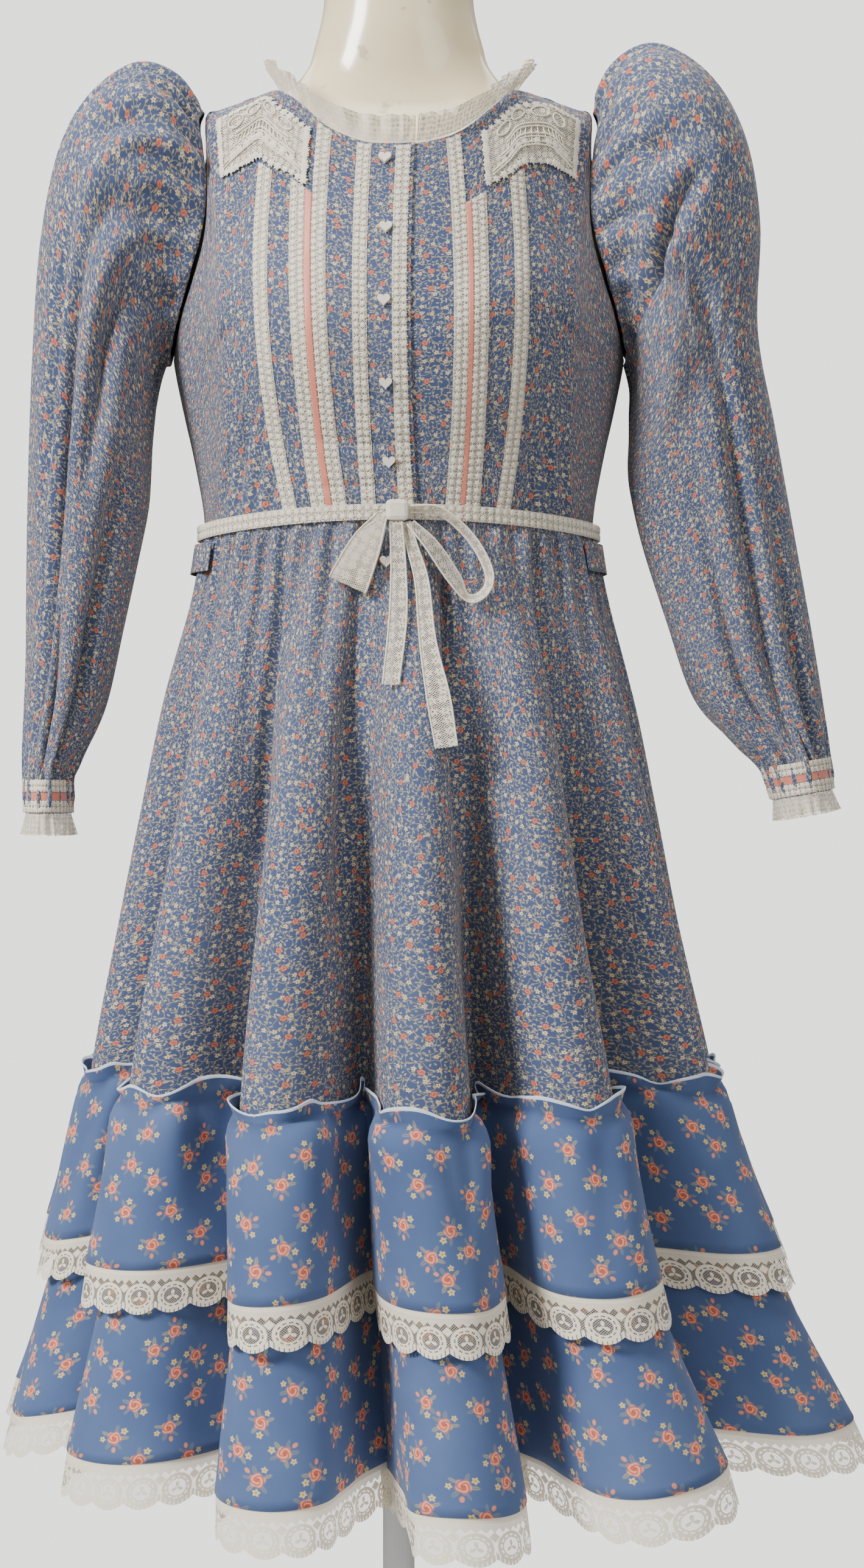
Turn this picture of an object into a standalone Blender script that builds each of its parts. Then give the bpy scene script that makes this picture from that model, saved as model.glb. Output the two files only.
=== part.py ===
"""A peasant dress on a limbless dress form, in metres, +Z up, the front towards -Y.

The form stands on a pole and a round base whose underside is the plane Z = 0. The dress has a
buttoned front in two halves with lace and ribbon tapes, a back, puffed sleeves with laced cuffs,
a gathered skirt, two hem ruffles edged in lace, a lace belt tied in front and a sash tied behind.
Every sheet of cloth is an open surface worked out from the tables below and thickened outwards.
"""

import math

import bpy
import numpy as np

# Thicknesses and gaps
CLOTH = 0.0012
LACE = 0.0010
SEAM_GAP = 0.0003
ON_PANEL = CLOTH + SEAM_GAP
PLACKET_LIFT = CLOTH + 2 * SEAM_GAP
WAIST_GAP = 0.0008

# Levels above the floor
WAIST_SIDE = 1.0435
WAIST_RISE = 0.0095
WAIST_HALF_WIDTH = 0.1515
WAIST_FRONT = 0.104
WAIST_BACK = 0.100
BUST_LEVEL = 1.190
UNDERARM = 1.182
SHOULDER_TIP = 1.374
FORM_BOTTOM = 0.800
FORM_TOP = 1.490
HEADING_TOP = 0.610
RUFFLE_SEAM = 0.597
UPPER_CLOTH_END = 0.473
UPPER_LACE_END = 0.441
SKIRT_END = 0.500
LOWER_TOP = 0.505
LOWER_CLOTH_END = 0.335
LOWER_LACE_END = 0.303


def table(columns, *rows):
    """Rows of numbers as one array for each named column."""
    return {name: np.array(values, float) for name, values in zip(columns.split(), zip(*rows))}


def smooth(rows, column, at, key="height"):
    """The column's value at a height, on a smooth curve through the rows."""
    keys = rows[key]
    values = rows[column]
    slopes = np.gradient(values, keys)
    at = np.clip(np.asarray(at, float), keys[0], keys[-1])
    piece = np.clip(np.searchsorted(keys, at, side="right") - 1, 0, len(keys) - 2)
    span = keys[piece + 1] - keys[piece]
    share = (at - keys[piece]) / span
    rise = share * share * (3 - 2 * share)
    start_bend = share * (1 - share) ** 2
    end_bend = share * share * (share - 1)
    level = values[piece] * (1 - rise) + values[piece + 1] * rise
    return level + span * (slopes[piece] * start_bend + slopes[piece + 1] * end_bend)


# The figure that the bodice is cut for. clear is how far the form keeps inside the cloth.
BODY = table(
    "height half_width front back clear",
    (0.790, 0.160, 0.110, 0.116, 0.000),
    (0.880, 0.168, 0.117, 0.123, 0.000),
    (0.970, 0.157, 0.108, 0.110, 0.004),
    (1.045, WAIST_HALF_WIDTH, WAIST_FRONT, WAIST_BACK, 0.010),
    (1.110, 0.162, 0.115, 0.102, 0.008),
    (1.150, 0.171, 0.125, 0.104, 0.008),
    (1.190, 0.1775, 0.130, 0.105, 0.008),
    (1.240, 0.172, 0.123, 0.105, 0.007),
    (1.290, 0.161, 0.107, 0.101, 0.0045),
    (1.335, 0.1585, 0.090, 0.092, 0.0055),
    (1.360, 0.157, 0.078, 0.080, 0.009),
    (1.374, 0.152, 0.069, 0.072, 0.0096),
    (1.385, 0.124, 0.064, 0.066, 0.0087),
    (1.3965, 0.094, 0.060, 0.062, 0.0066),
    (1.410, 0.076, 0.057, 0.058, 0.003),
    (1.430, 0.066, 0.055, 0.055, 0.000),
    (1.455, 0.060, 0.054, 0.053, 0.000),
    (FORM_TOP, 0.058, 0.053, 0.052, 0.000),
)
CUP_OUT = 0.009
CUP_SIDE = 0.082
CUP_WIDTH = 0.048
CUP_HEIGHT = 0.042

# Necklines, by distance from the middle
FRONT_NECK = table(
    "out height",
    (0.000, 1.335), (0.026, 1.338), (0.052, 1.350), (0.076, 1.373), (0.0885, 1.385), (0.094, 1.3965),
)
BACK_NECK = table(
    "out height",
    (0.000, 1.378), (0.030, 1.3795), (0.060, 1.385), (0.082, 1.391), (0.094, 1.3965),
)
ARMHOLE_FRONT_TURN = math.radians(24)
ARMHOLE_BACK_TURN = math.radians(20)
ARMHOLE_ROUNDNESS = 0.8

# Tapes on the front: the middle of each at the neck, the bust and the waist
TAPE_WIDTH = 0.011
TAPES = (
    ("lace_strip_outer_left", -0.0935, -0.1013, -0.0800),
    ("lace_strip_ribbon_left_a", -0.0720, -0.0740, -0.0585),
    ("lace_strip_ribbon_left_b", -0.0553, -0.0577, -0.0424),
    ("lace_strip_inner_left", -0.0250, -0.0280, -0.0210),
    ("lace_strip_placket", 0.0047, 0.0018, 0.0070),
    ("lace_strip_ribbon_right_a", 0.0420, 0.0480, 0.0410),
    ("lace_strip_ribbon_right_b", 0.0580, 0.0630, 0.0560),
    ("lace_strip_outer_right", 0.0837, 0.0930, 0.0790),
)
TAPES_LEFT = 5
TAPES_TO_YOKE = (0, 1, 6, 7)
PLACKET_EDGE = 0.0030
UNDERLAP = 0.001 - TAPE_WIDTH / 2
PANEL_ROWS = np.array([0.0, 0.17, 0.34, 0.50, 0.65, 0.80, 0.88, 0.95, 1.0])
YOKE_ROW = 5
YOKE_COLUMN = 5
YOKE_OUT = ON_PANEL + LACE - SEAM_GAP / 2
YOKE_DRAWN_UP = 0.10
TAPE_DRAWN_BACK = 0.15

# Columns of a half panel past the tapes. On the shoulder: the distances of the foot, the bust and
# the top from the middle. Round the armhole: the share of the way down it, the foot, the bust, and
# how far the column follows the side seam. The back's own columns come before them.
SHOULDER_COLUMNS = (
    (0.0960, 0.1130, 0.1120),
    (0.1110, 0.1200, 0.1270),
    (0.1225, 0.1270, 0.1405),
    (0.1320, 0.1330, 0.1512),
)
ARMHOLE_COLUMNS = (
    (0.25, 0.1385, 0.1375, 0.0),
    (0.50, 0.1440, 0.1460, 0.0),
    (0.75, 0.1485, None, 0.5),
    (1.00, WAIST_HALF_WIDTH, None, 1.0),
)
BACK_COLUMNS = ((0.000, 0.000), (0.030, 0.030), (0.060, 0.060), (0.083, 0.086))

# The skirt: sizes at each level, for a ridge at the middle front
SKIRT = table(
    "height half_width depth fold shift",
    (0.303, 0.270, 0.230, 0.0550, 0.024),
    (0.410, 0.2535, 0.217, 0.0525, 0.015),
    (0.530, 0.2335, 0.202, 0.0470, 0.006),
    (0.629, 0.2185, 0.188, 0.0420, 0.002),
    (0.724, 0.203, 0.174, 0.0345, 0.000),
    (0.816, 0.191, 0.160, 0.0245, 0.000),
    (0.909, 0.179, 0.142, 0.0120, 0.000),
    (0.985, 0.1625, 0.121, 0.0040, 0.000),
    (1.053, WAIST_HALF_WIDTH, WAIST_FRONT, 0.0000, 0.000),
)
# One row for each fold: where its ridge is at the ruffle seam and at the hem, in degrees from the
# middle front, how far the ridge stands out and how deep the valley after it goes.
FOLDS = table(
    "seam_angle hem_angle ridge valley",
    (-77, -75, 0.55, 0.75),
    (-50, -45, 0.80, 0.95),
    (-22, -18, 0.95, 1.15),
    (5, 5, 1.05, 1.20),
    (32, 29, 1.00, 1.10),
    (64, 66, 0.85, 0.70),
    (93, 94, 0.50, 0.80),
    (120, 121, 0.85, 1.00),
    (147, 146, 1.00, 1.05),
    (175, 176, 0.95, 1.10),
    (203, 202, 1.05, 0.95),
    (230, 231, 0.85, 0.90),
    (256, 257, 0.70, 0.70),
)
FOLD_COUNT = len(FOLDS["ridge"])
STEPS_PER_FOLD = 6
ROUND_SKIRT = (np.arange(FOLD_COUNT * STEPS_PER_FOLD) + 0.5) / STEPS_PER_FOLD
LOBE_WIDTH = 0.15
LOBE_LEAN = 0.06
SIDE_RISE = 0.034
VALLEY_RISE = 0.022
HEM_LEVEL = LOWER_LACE_END
TOP_LEVEL = WAIST_SIDE + WAIST_RISE
UPPER_FLARE = 0.065
LOWER_FLARE = 0.120
HEADING_FLARE = 0.012
SKIRT_ROWS = (SKIRT_END, 0.60, 0.72, 0.83, 0.93)
# Rows of each ruffle, and how far each stands off the skirt's own surface
UPPER_ROWS = table(
    "height gap",
    (UPPER_CLOTH_END, 0.0048),
    (0.535, 0.0042),
    (RUFFLE_SEAM, 0.0026),
    (HEADING_TOP, 0.0026),
)
UPPER_LACE_GAP = 0.0045
LOWER_GAP = 0.0022
LOWER_ROWS = table(
    "height gap",
    (LOWER_CLOTH_END, LOWER_GAP),
    (0.420, LOWER_GAP),
    (LOWER_TOP, LOWER_GAP),
)

# Each sleeve: its outer and inner edge seen from the front, and how far it reaches fore and aft
SLEEVE_LEFT = table(
    "outer_x outer_z inner_x inner_z depth middle_y",
    (-0.176, 1.405, -0.186, 1.177, 0.060, 0.000),
    (-0.207, 1.413, -0.191, 1.160, 0.073, -0.002),
    (-0.243, 1.388, -0.193, 1.138, 0.079, -0.004),
    (-0.267, 1.345, -0.195, 1.112, 0.077, -0.006),
    (-0.281, 1.275, -0.196, 1.083, 0.070, -0.008),
    (-0.287, 1.190, -0.198, 1.060, 0.062, -0.010),
    (-0.290, 1.105, -0.206, 1.020, 0.056, -0.012),
    (-0.2915, 1.020, -0.217, 0.968, 0.051, -0.014),
    (-0.292, 0.940, -0.2305, 0.908, 0.046, -0.016),
    (-0.292, 0.880, -0.250, 0.866, 0.042, -0.018),
    (-0.2915, 0.8515, -0.2575, 0.8510, 0.040, -0.019),
    (-0.2910, 0.8255, -0.2570, 0.8250, 0.040, -0.020),
)
SLEEVE_RIGHT = table(
    "outer_x outer_z inner_x inner_z depth middle_y",
    (0.172, 1.413, 0.183, 1.176, 0.062, 0.000),
    (0.203, 1.427, 0.186, 1.158, 0.076, -0.002),
    (0.243, 1.404, 0.184, 1.138, 0.082, -0.005),
    (0.271, 1.357, 0.1825, 1.118, 0.079, -0.007),
    (0.283, 1.290, 0.181, 1.096, 0.071, -0.009),
    (0.281, 1.205, 0.183, 1.075, 0.063, -0.011),
    (0.294, 1.130, 0.192, 1.035, 0.056, -0.013),
    (0.309, 1.045, 0.210, 0.978, 0.050, -0.016),
    (0.324, 0.960, 0.232, 0.915, 0.045, -0.018),
    (0.333, 0.900, 0.262, 0.882, 0.041, -0.020),
    (0.3355, 0.8690, 0.2850, 0.8610, 0.039, -0.021),
    (0.3385, 0.8440, 0.2930, 0.8360, 0.039, -0.022),
)
SLEEVE_SIDES = 16
SLEEVE_START_OUT = 0.0033
# Soft folds along a sleeve: from ring to ring, the angle round it, in degrees from the outer edge
# towards the front, and the depth.
SLEEVE_FOLDS_LEFT = ((1.0, 9.0, 38, 30, 0.009, 16), (0.0, 3.5, 150, 120, 0.008, 22))
SLEEVE_FOLDS_RIGHT = ((2.2, 5.5, 40, 120, 0.010, 18), (3.4, 7.5, 60, 150, 0.008, 18))
CUFF_BANDS = (
    ("lace_upper", 0.000, 0.0096, LACE),
    ("ribbon", 0.0099, 0.0159, LACE),
    ("lace_lower", 0.0162, 0.0255, LACE),
)
CUFF_LENGTH = 0.0262
FRILL_DEPTH = 0.0165
FRILL_RIPPLE = 0.0022

NECK_FRILL_HEIGHT = 0.019
NECK_FRILL_RIPPLE = 0.0032
NECK_FRILL_STEPS = 52
NECK_FRILL_FLARE = 0.0085
NECK_FRILL_LIFT = 0.0018
NECK_EASE = 0.125
NECK_LAP = 0.002

BELT_HEIGHT = 0.012
BELT_OUT = 0.0064
BELT_STEPS = 52
BELT_ABOVE_SEAM = 0.001

BUTTON_SIZE = 0.0100
BUTTON_THICK = 0.0032
BUTTON_SEAT = 0.0009
BODICE_BUTTONS = (
    (-0.0096, 1.3240),
    (-0.0087, 1.2680),
    (-0.0100, 1.2110),
    (-0.0087, 1.1490),
    (-0.0064, 1.0913),
)
SKIRT_BUTTON = (-0.0082, 1.0160)

# Which folds lie under the front bow and behind
FRONT_FOLDS = (1, 5)
BACK_FOLDS = (7.5, 11.5)
BACK_TIE_REACH = 0.018

# Tapes of the bows: the middle of the tape, how far it stands off what is behind it, half of its
# width, and the direction of its width as an angle up from +X and a tilt away from the face.
TAPE_PATH = "x height out half lie tilt"
BOW_LEVEL = 1.0545
BOW_KNOT = (0.017, 0.010, 0.016)
BOW_LOOP_LEFT = table(
    TAPE_PATH,
    (-0.0116, 1.0500, 0.0165, 0.0040, -30, 0),
    (-0.0230, 1.0290, 0.0165, 0.0110, -30, 0),
    (-0.0350, 1.0030, 0.0120, 0.0145, -25, 0),
    (-0.0375, 0.9975, 0.0085, 0.0145, -25, 0),
    (-0.0350, 1.0030, 0.0060, 0.0145, -25, 0),
    (-0.0230, 1.0290, 0.0065, 0.0110, -30, 0),
    (-0.0120, 1.0455, 0.0095, 0.0040, -30, 0),
)
BOW_LOOP_RIGHT = table(
    TAPE_PATH,
    (0.0096, 1.0550, 0.0150, 0.0040, 80, 55),
    (0.0330, 1.0530, 0.0140, 0.0055, 80, 60),
    (0.0560, 1.0330, 0.0120, 0.0060, 45, 62),
    (0.0690, 1.0080, 0.0110, 0.0060, 10, 62),
    (0.0660, 0.9930, 0.0105, 0.0060, -40, 62),
    (0.0540, 0.9880, 0.0100, 0.0065, -85, 60),
    (0.0430, 1.0030, 0.0105, 0.0080, -145, 50),
    (0.0260, 1.0280, 0.0120, 0.0080, -150, 50),
    (0.0101, 1.0450, 0.0140, 0.0045, -145, 50),
)
BOW_TAIL_LEFT = table(
    TAPE_PATH,
    (-0.0010, 1.0458, 0.0125, 0.0045, 0, 0),
    (0.0010, 1.0100, 0.0060, 0.0055, 0, 0),
    (0.0005, 0.9700, 0.0070, 0.0065, 0, 0),
    (-0.0045, 0.9220, 0.0095, 0.0060, 0, 0),
)
BOW_TAIL_RIGHT = table(
    TAPE_PATH,
    (0.0068, 1.0458, 0.0105, 0.0026, 10, 0),
    (0.0110, 1.0280, 0.0062, 0.0040, 10, 0),
    (0.0185, 1.0000, 0.0055, 0.0050, 10, 0),
    (0.0230, 0.9550, 0.0060, 0.0060, 8, 0),
    (0.0310, 0.9120, 0.0098, 0.0085, 8, 0),
    (0.0370, 0.8750, 0.0130, 0.0080, 8, 0),
)

# The sash: its ends' angles, its lower and upper edge, and its bow behind
SASH_ANGLES = (64, 173)
SASH_STEPS = 14
SASH_EDGES = (1.0130, 1.0355)
SASH_OUT = ON_PANEL + 0.0043
SASH_BEHIND = 0.1262
SASH_LEVEL = 1.0250
SASH_KNOT = (0.022, 0.014, 0.022)
SASH_LOOP = table(
    TAPE_PATH,
    (0.0116, 1.0260, 0.0030, 0.0080, 90, 0),
    (0.0600, 1.0330, 0.0060, 0.0130, 90, 0),
    (0.1150, 1.0400, 0.0030, 0.0140, 90, 0),
    (0.1500, 1.0450, -0.0120, 0.0130, 90, 0),
    (0.1580, 1.0450, -0.0220, 0.0125, 90, 0),
    (0.1500, 1.0450, -0.0320, 0.0130, 90, 0),
    (0.1150, 1.0400, -0.0250, 0.0140, 90, 0),
    (0.0800, 1.0340, -0.0120, 0.0130, 90, 0),
    (0.0120, 1.0260, -0.0035, 0.0080, 90, 0),
)
SASH_LOOP_LEFT_SHARE = 0.86
SASH_LOOP_LEFT_DROP = 0.004
SASH_TAIL = table(
    TAPE_PATH,
    (0.0310, 0.8000, 0.0080, 0.0140, 0, 0),
    (0.0260, 0.8800, 0.0090, 0.0130, 0, 0),
    (0.0150, 0.9600, 0.0100, 0.0110, 0, 0),
    (0.0075, 1.0130, 0.0110, 0.0070, 0, 0),
)
SASH_TAIL_LEFT_SHIFT = 0.002

FORM_SIDES = 36
FORM_EXTRA_ROWS = (0.84, 0.925, 1.01, 1.075, 1.215, 1.265, 1.31, 1.349, 1.47)

POLE_RADIUS = 0.0125
COLLAR_RADIUS = 0.0275
SOCKET_RADIUS = 0.036
BASE_RADIUS = 0.175
BASE_THICK = 0.014
BASE_HUB = 0.018


def front_side(angle):
    return np.cos(angle) > 0


def waist_seam(angle):
    return WAIST_SIDE + WAIST_RISE * np.maximum(np.cos(angle), 0) ** 2


def body_point(angle, height):
    """A point of the dress's bodice surface, by angle from the middle front and by height."""
    angle, height = np.broadcast_arrays(np.asarray(angle, float), np.asarray(height, float))
    width = smooth(BODY, "half_width", height)
    depth = np.where(front_side(angle), smooth(BODY, "front", height), smooth(BODY, "back", height))
    x = width * np.sin(angle)
    cup = np.exp(-(((np.abs(x) - CUP_SIDE) / CUP_WIDTH) ** 2) - ((height - BUST_LEVEL) / CUP_HEIGHT) ** 2)
    y = -depth * np.cos(angle) - np.where(front_side(angle), CUP_OUT * cup * np.cos(angle), 0)
    return np.stack([x, y, height], axis=-1)


def grid_normals(grid, wrap):
    """The outward direction at each point of a grid whose columns run round the body."""
    across = np.roll(grid, -1, 1) - np.roll(grid, 1, 1)
    if not wrap:
        across[:, 0] = grid[:, 1] - grid[:, 0]
        across[:, -1] = grid[:, -1] - grid[:, -2]
    up = np.gradient(grid, axis=0)
    out = np.cross(across, up)
    return out / np.linalg.norm(out, axis=-1, keepdims=True)


def moved_out(grid, distance, wrap=False):
    return grid + grid_normals(grid, wrap) * distance


def material(name, colour, roughness, metallic=0.0):
    made = bpy.data.materials.new(name)
    made.use_nodes = True
    shader = made.node_tree.nodes["Principled BSDF"]
    shader.inputs["Base Color"].default_value = (*colour, 1)
    shader.inputs["Roughness"].default_value = roughness
    shader.inputs["Metallic"].default_value = metallic
    return made


def finished(name, mesh, finish, collection):
    made = bpy.data.objects.new(name, mesh)
    mesh.materials.append(finish)
    mesh.shade_smooth()
    mesh.set_sharp_from_angle(angle=math.radians(50))
    collection.objects.link(made)
    return made


def cloth(name, grid, thickness, finish, wrap=False):
    """A sheet through a grid of points, rows bottom to top, thickened to its outer side."""
    rows, columns = grid.shape[:2]
    cells = columns if wrap else columns - 1
    faces = []
    for row in range(rows - 1):
        for column in range(cells):
            beside = (column + 1) % columns
            low = row * columns
            high = low + columns
            faces.append((low + column, low + beside, high + beside, high + column))
    mesh = bpy.data.meshes.new(name)
    mesh.from_pydata(grid.reshape(-1, 3).tolist(), [], faces)
    made = finished(name, mesh, finish, DRESS)
    wall = made.modifiers.new("wall", "SOLIDIFY")
    wall.thickness = thickness
    wall.offset = 1


# ---- the bodice ----

def panel_column(foot, middle, top_x, top_height, side_share, front):
    """Points of one column, from the waist to the neck, shoulder or armhole."""
    sign = 1 if foot + top_x >= 0 else -1
    foot_level = WAIST_SIDE + (WAIST_RISE * (1 - (foot / WAIST_HALF_WIDTH) ** 2) if front else 0)
    heights = foot_level + (top_height - foot_level) * PANEL_ROWS
    width = smooth(BODY, "half_width", heights)
    if middle is None:
        x = foot + (top_x - foot) * PANEL_ROWS
    else:
        bust_share = (BUST_LEVEL - foot_level) / (top_height - foot_level)
        x = np.array([
            foot * (v - bust_share) * (v - 1) / bust_share
            + middle * v * (v - 1) / (bust_share * (bust_share - 1))
            + top_x * v * (v - bust_share) / (1 - bust_share)
            for v in PANEL_ROWS
        ])
    straight = np.clip(x * sign / width, -1, 1)
    foot_share = abs(foot) / width[0]
    top_share = min(1.0, abs(top_x) / width[-1])
    along = foot_share + (top_share - foot_share) * PANEL_ROWS
    turn = np.arcsin(np.clip(straight * (1 - side_share) + along * side_share, -1, 1))
    angle = sign * (turn if front else math.pi - turn)
    return body_point(angle, heights)


def neck_height(out, front):
    return float(smooth(FRONT_NECK if front else BACK_NECK, "height", abs(out), key="out"))


def shoulder_height(out):
    heights = np.linspace(SHOULDER_TIP - 0.002, FRONT_NECK["height"][-1], 60)
    widths = smooth(BODY, "half_width", heights)
    return float(np.interp(-abs(out), -widths, heights))


def armhole(share, front):
    """Angle past the side and height of the armhole's edge, from the shoulder to the underarm."""
    turn = ARMHOLE_FRONT_TURN if front else ARMHOLE_BACK_TURN
    middle = (SHOULDER_TIP + UNDERARM) / 2
    reach = (SHOULDER_TIP - UNDERARM) / 2
    dip = np.maximum(np.sin(np.pi * np.asarray(share, float)), 0) ** ARMHOLE_ROUNDNESS
    return turn * dip, middle + reach * np.cos(np.pi * np.asarray(share, float))


def top_of(out, front):
    if abs(out) <= FRONT_NECK["out"][-1]:
        return neck_height(out, front)
    return shoulder_height(out)


def side_columns(sign, front):
    """The columns from the shoulder to the side seam."""
    made = [
        panel_column(sign * foot, sign * middle, sign * top, shoulder_height(top), 0.0, front)
        for foot, middle, top in SHOULDER_COLUMNS
    ]
    for share, foot, middle, side_share in ARMHOLE_COLUMNS:
        turn, height = armhole(share, front)
        top_x = float(smooth(BODY, "half_width", height)) * math.cos(float(turn))
        bust = None if middle is None else sign * middle
        made.append(panel_column(sign * foot, bust, sign * top_x, float(height), side_share, front))
    return made


def kept_from_seam(grid, front):
    """The panel with its edges at the side and shoulder drawn back from the seam."""
    held = grid.copy()
    back_off = 1.5 * SEAM_GAP
    held[..., 1] = np.minimum(held[..., 1], -back_off) if front else np.maximum(held[..., 1], back_off)
    return held


def tape_column(tape, shift):
    """The panel's column at a distance to the side of a tape's middle."""
    _, top, middle, foot = tape
    return panel_column(foot + shift, middle + shift, top + shift, top_of(top + shift, True), 0.0, True)


def tape_edges(tape):
    return [tape_column(tape, -TAPE_WIDTH / 2), tape_column(tape, TAPE_WIDTH / 2)]


def front_left_grid():
    """The half that laps over: its columns run from the side seam to the placket edge."""
    columns = side_columns(-1, True)[::-1]
    for tape in TAPES[:TAPES_LEFT]:
        columns += tape_edges(tape)
    columns.append(tape_column(TAPES[TAPES_LEFT - 1], TAPE_WIDTH / 2 + PLACKET_EDGE))
    grid = kept_from_seam(np.stack(columns, axis=1), True)
    lift = np.zeros(grid.shape[1])
    lift[-3:] = PLACKET_LIFT
    return grid + grid_normals(grid, False) * lift[None, :, None]


def front_right_grid():
    """The half that is lapped over, from just past the placket tape's inner edge to the side."""
    placket = TAPES[TAPES_LEFT - 1]
    columns = [tape_column(placket, UNDERLAP), tape_column(placket, TAPE_WIDTH / 2 + 2 * PLACKET_EDGE)]
    for tape in TAPES[TAPES_LEFT:]:
        columns += tape_edges(tape)
    columns += side_columns(1, True)
    return kept_from_seam(np.stack(columns, axis=1), True)


def back_grid():
    half = [panel_column(foot, None, top, neck_height(top, False), 0.0, False) for foot, top in BACK_COLUMNS]
    half += side_columns(1, False)
    mirrored = [column * np.array([-1.0, 1.0, 1.0]) for column in half[1:]]
    # From +X across the back to -X, which keeps the columns turning the same way as in front
    return kept_from_seam(np.stack(half[::-1] + mirrored, axis=1), False)


def build_bodice():
    left = front_left_grid()
    right = front_right_grid()
    cloth("bodice_front_left", left, CLOTH, CALICO)
    cloth("bodice_front_right", right, CLOTH, CALICO)
    cloth("bodice_back", back_grid(), CLOTH, CALICO)
    first_left = len(SHOULDER_COLUMNS) + len(ARMHOLE_COLUMNS)
    left_out = moved_out(left, ON_PANEL)
    right_out = moved_out(right, ON_PANEL)
    for out in (left_out, right_out):
        out[-1] += (out[-2] - out[-1]) * TAPE_DRAWN_BACK
    for number, tape in enumerate(TAPES):
        if number < TAPES_LEFT:
            grid = left_out
            start = first_left + 2 * number
        else:
            grid = right_out
            start = 2 + 2 * (number - TAPES_LEFT)
        top = YOKE_ROW if number in TAPES_TO_YOKE else len(PANEL_ROWS) - 1
        cloth(tape[0], grid[: top + 1, start : start + 2], LACE, LACE_FINISH)
    for name, grid, start in (("ribbon_left", left_out, first_left + 3), ("ribbon_right", right_out, 3)):
        band = grid[: YOKE_ROW + 1, start : start + 2].copy()
        inward = band[:, 1] - band[:, 0]
        inward *= SEAM_GAP / np.linalg.norm(inward, axis=1, keepdims=True)
        band[:, 0] += inward
        band[:, 1] -= inward
        cloth(name, band, LACE, RIBBON)
    last_right = right.shape[1] - 1 - YOKE_COLUMN
    build_yoke_lace("yoke_lace_left", moved_out(left, YOKE_OUT), first_left + 3)
    build_yoke_lace("yoke_lace_right", moved_out(right, YOKE_OUT), last_right)


def build_yoke_lace(name, grid, last):
    """The lace motif on the shoulder, over the ends of the tapes."""
    patch = grid[YOKE_ROW:-1, YOKE_COLUMN : last + 1].copy()
    patch[0] += (patch[1] - patch[0]) * YOKE_DRAWN_UP
    cloth(name, patch, LACE, LACE_FINISH)


# ---- the sleeves ----

def sleeve_fold(folds, ring, turn):
    """How far the folds draw the sleeve in at a ring number and an angle round it."""
    drawn = np.zeros(np.broadcast(ring, turn).shape)
    for first, last, start_angle, end_angle, depth, spread in folds:
        share = np.clip((ring - first) / (last - first), 0, 1)
        centre = np.radians(start_angle + (end_angle - start_angle) * share)
        away = (turn - centre + np.pi) % (2 * np.pi) - np.pi
        drawn = drawn + depth * np.sin(np.pi * share) * np.exp(-((away / math.radians(spread)) ** 2))
    return drawn


def armhole_ring(sign, turns):
    """The sleeve's first ring, round the armhole's edge from the shoulder tip by the front."""
    points = []
    for turn in turns:
        front = turn <= np.pi
        share = turn / np.pi if front else (2 * np.pi - turn) / np.pi
        past, height = armhole(share, front)
        angle = math.pi / 2 - past if front else math.pi / 2 + past
        here = body_point(sign * angle, height)
        beside = body_point(sign * angle + 0.01, height) - here
        above = body_point(sign * angle, height + 0.001) - here
        out = np.cross(beside, above)
        points.append(here + out / np.linalg.norm(out) * SLEEVE_START_OUT)
    return np.array(points)


def sleeve_rings(rows, folds, sign, turns):
    """Rings from the armhole to the cuff, each a list of points round the sleeve."""
    rings = [armhole_ring(sign, turns)]
    for number in range(len(rows["depth"])):
        fore = rows["middle_y"][number]
        outer = np.array([rows["outer_x"][number], fore, rows["outer_z"][number]])
        inner = np.array([rows["inner_x"][number], fore, rows["inner_z"][number]])
        middle = (outer + inner) / 2
        half = (outer - inner) / 2
        forward = np.array([0, -rows["depth"][number], 0])
        drawn = 1 - sleeve_fold(folds, float(number), turns) / np.linalg.norm(half)
        spokes = half * np.cos(turns)[:, None] + forward * np.sin(turns)[:, None]
        rings.append(middle + spokes * drawn[:, None])
    return rings


def ring_grid(rings, sign):
    """Rings as rows, bottom to top, with columns turning the way that faces point outwards."""
    grid = np.stack(rings[::-1], axis=0)
    return grid[:, ::-1] if sign > 0 else grid


def build_sleeve(side, rows, folds, sign):
    turns = np.arange(SLEEVE_SIDES) * 2 * np.pi / SLEEVE_SIDES
    rings = sleeve_rings(rows, folds, sign, turns)
    cloth(f"sleeve_{side}", ring_grid(rings, sign), CLOTH, CALICO, wrap=True)
    cuff_top, cuff_end = rings[-2], rings[-1]
    for name, start, end, thick in CUFF_BANDS:
        levels = [cuff_top + (cuff_end - cuff_top) * (level / CUFF_LENGTH) for level in (start, end)]
        band = moved_out(ring_grid(levels, sign), ON_PANEL, wrap=True)
        cloth(f"cuff_{name}_{side}", band, thick, RIBBON if name == "ribbon" else LACE_FINISH, wrap=True)
    down = (cuff_end - cuff_top) / CUFF_LENGTH
    centre = cuff_end.mean(axis=0)
    ripple = np.where(np.arange(SLEEVE_SIDES) % 2 == 0, 1.0, -1.0)[:, None] * FRILL_RIPPLE
    spoke = cuff_end - centre
    spoke /= np.linalg.norm(spoke, axis=1, keepdims=True)
    start = cuff_end + down * 2 * SEAM_GAP
    frill = [start, start + down * FRILL_DEPTH + spoke * (FRILL_RIPPLE + ripple)]
    cloth(f"cuff_frill_{side}", ring_grid(frill, sign), LACE, LACE_FINISH, wrap=True)


# ---- the skirt and its ruffles ----

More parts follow.
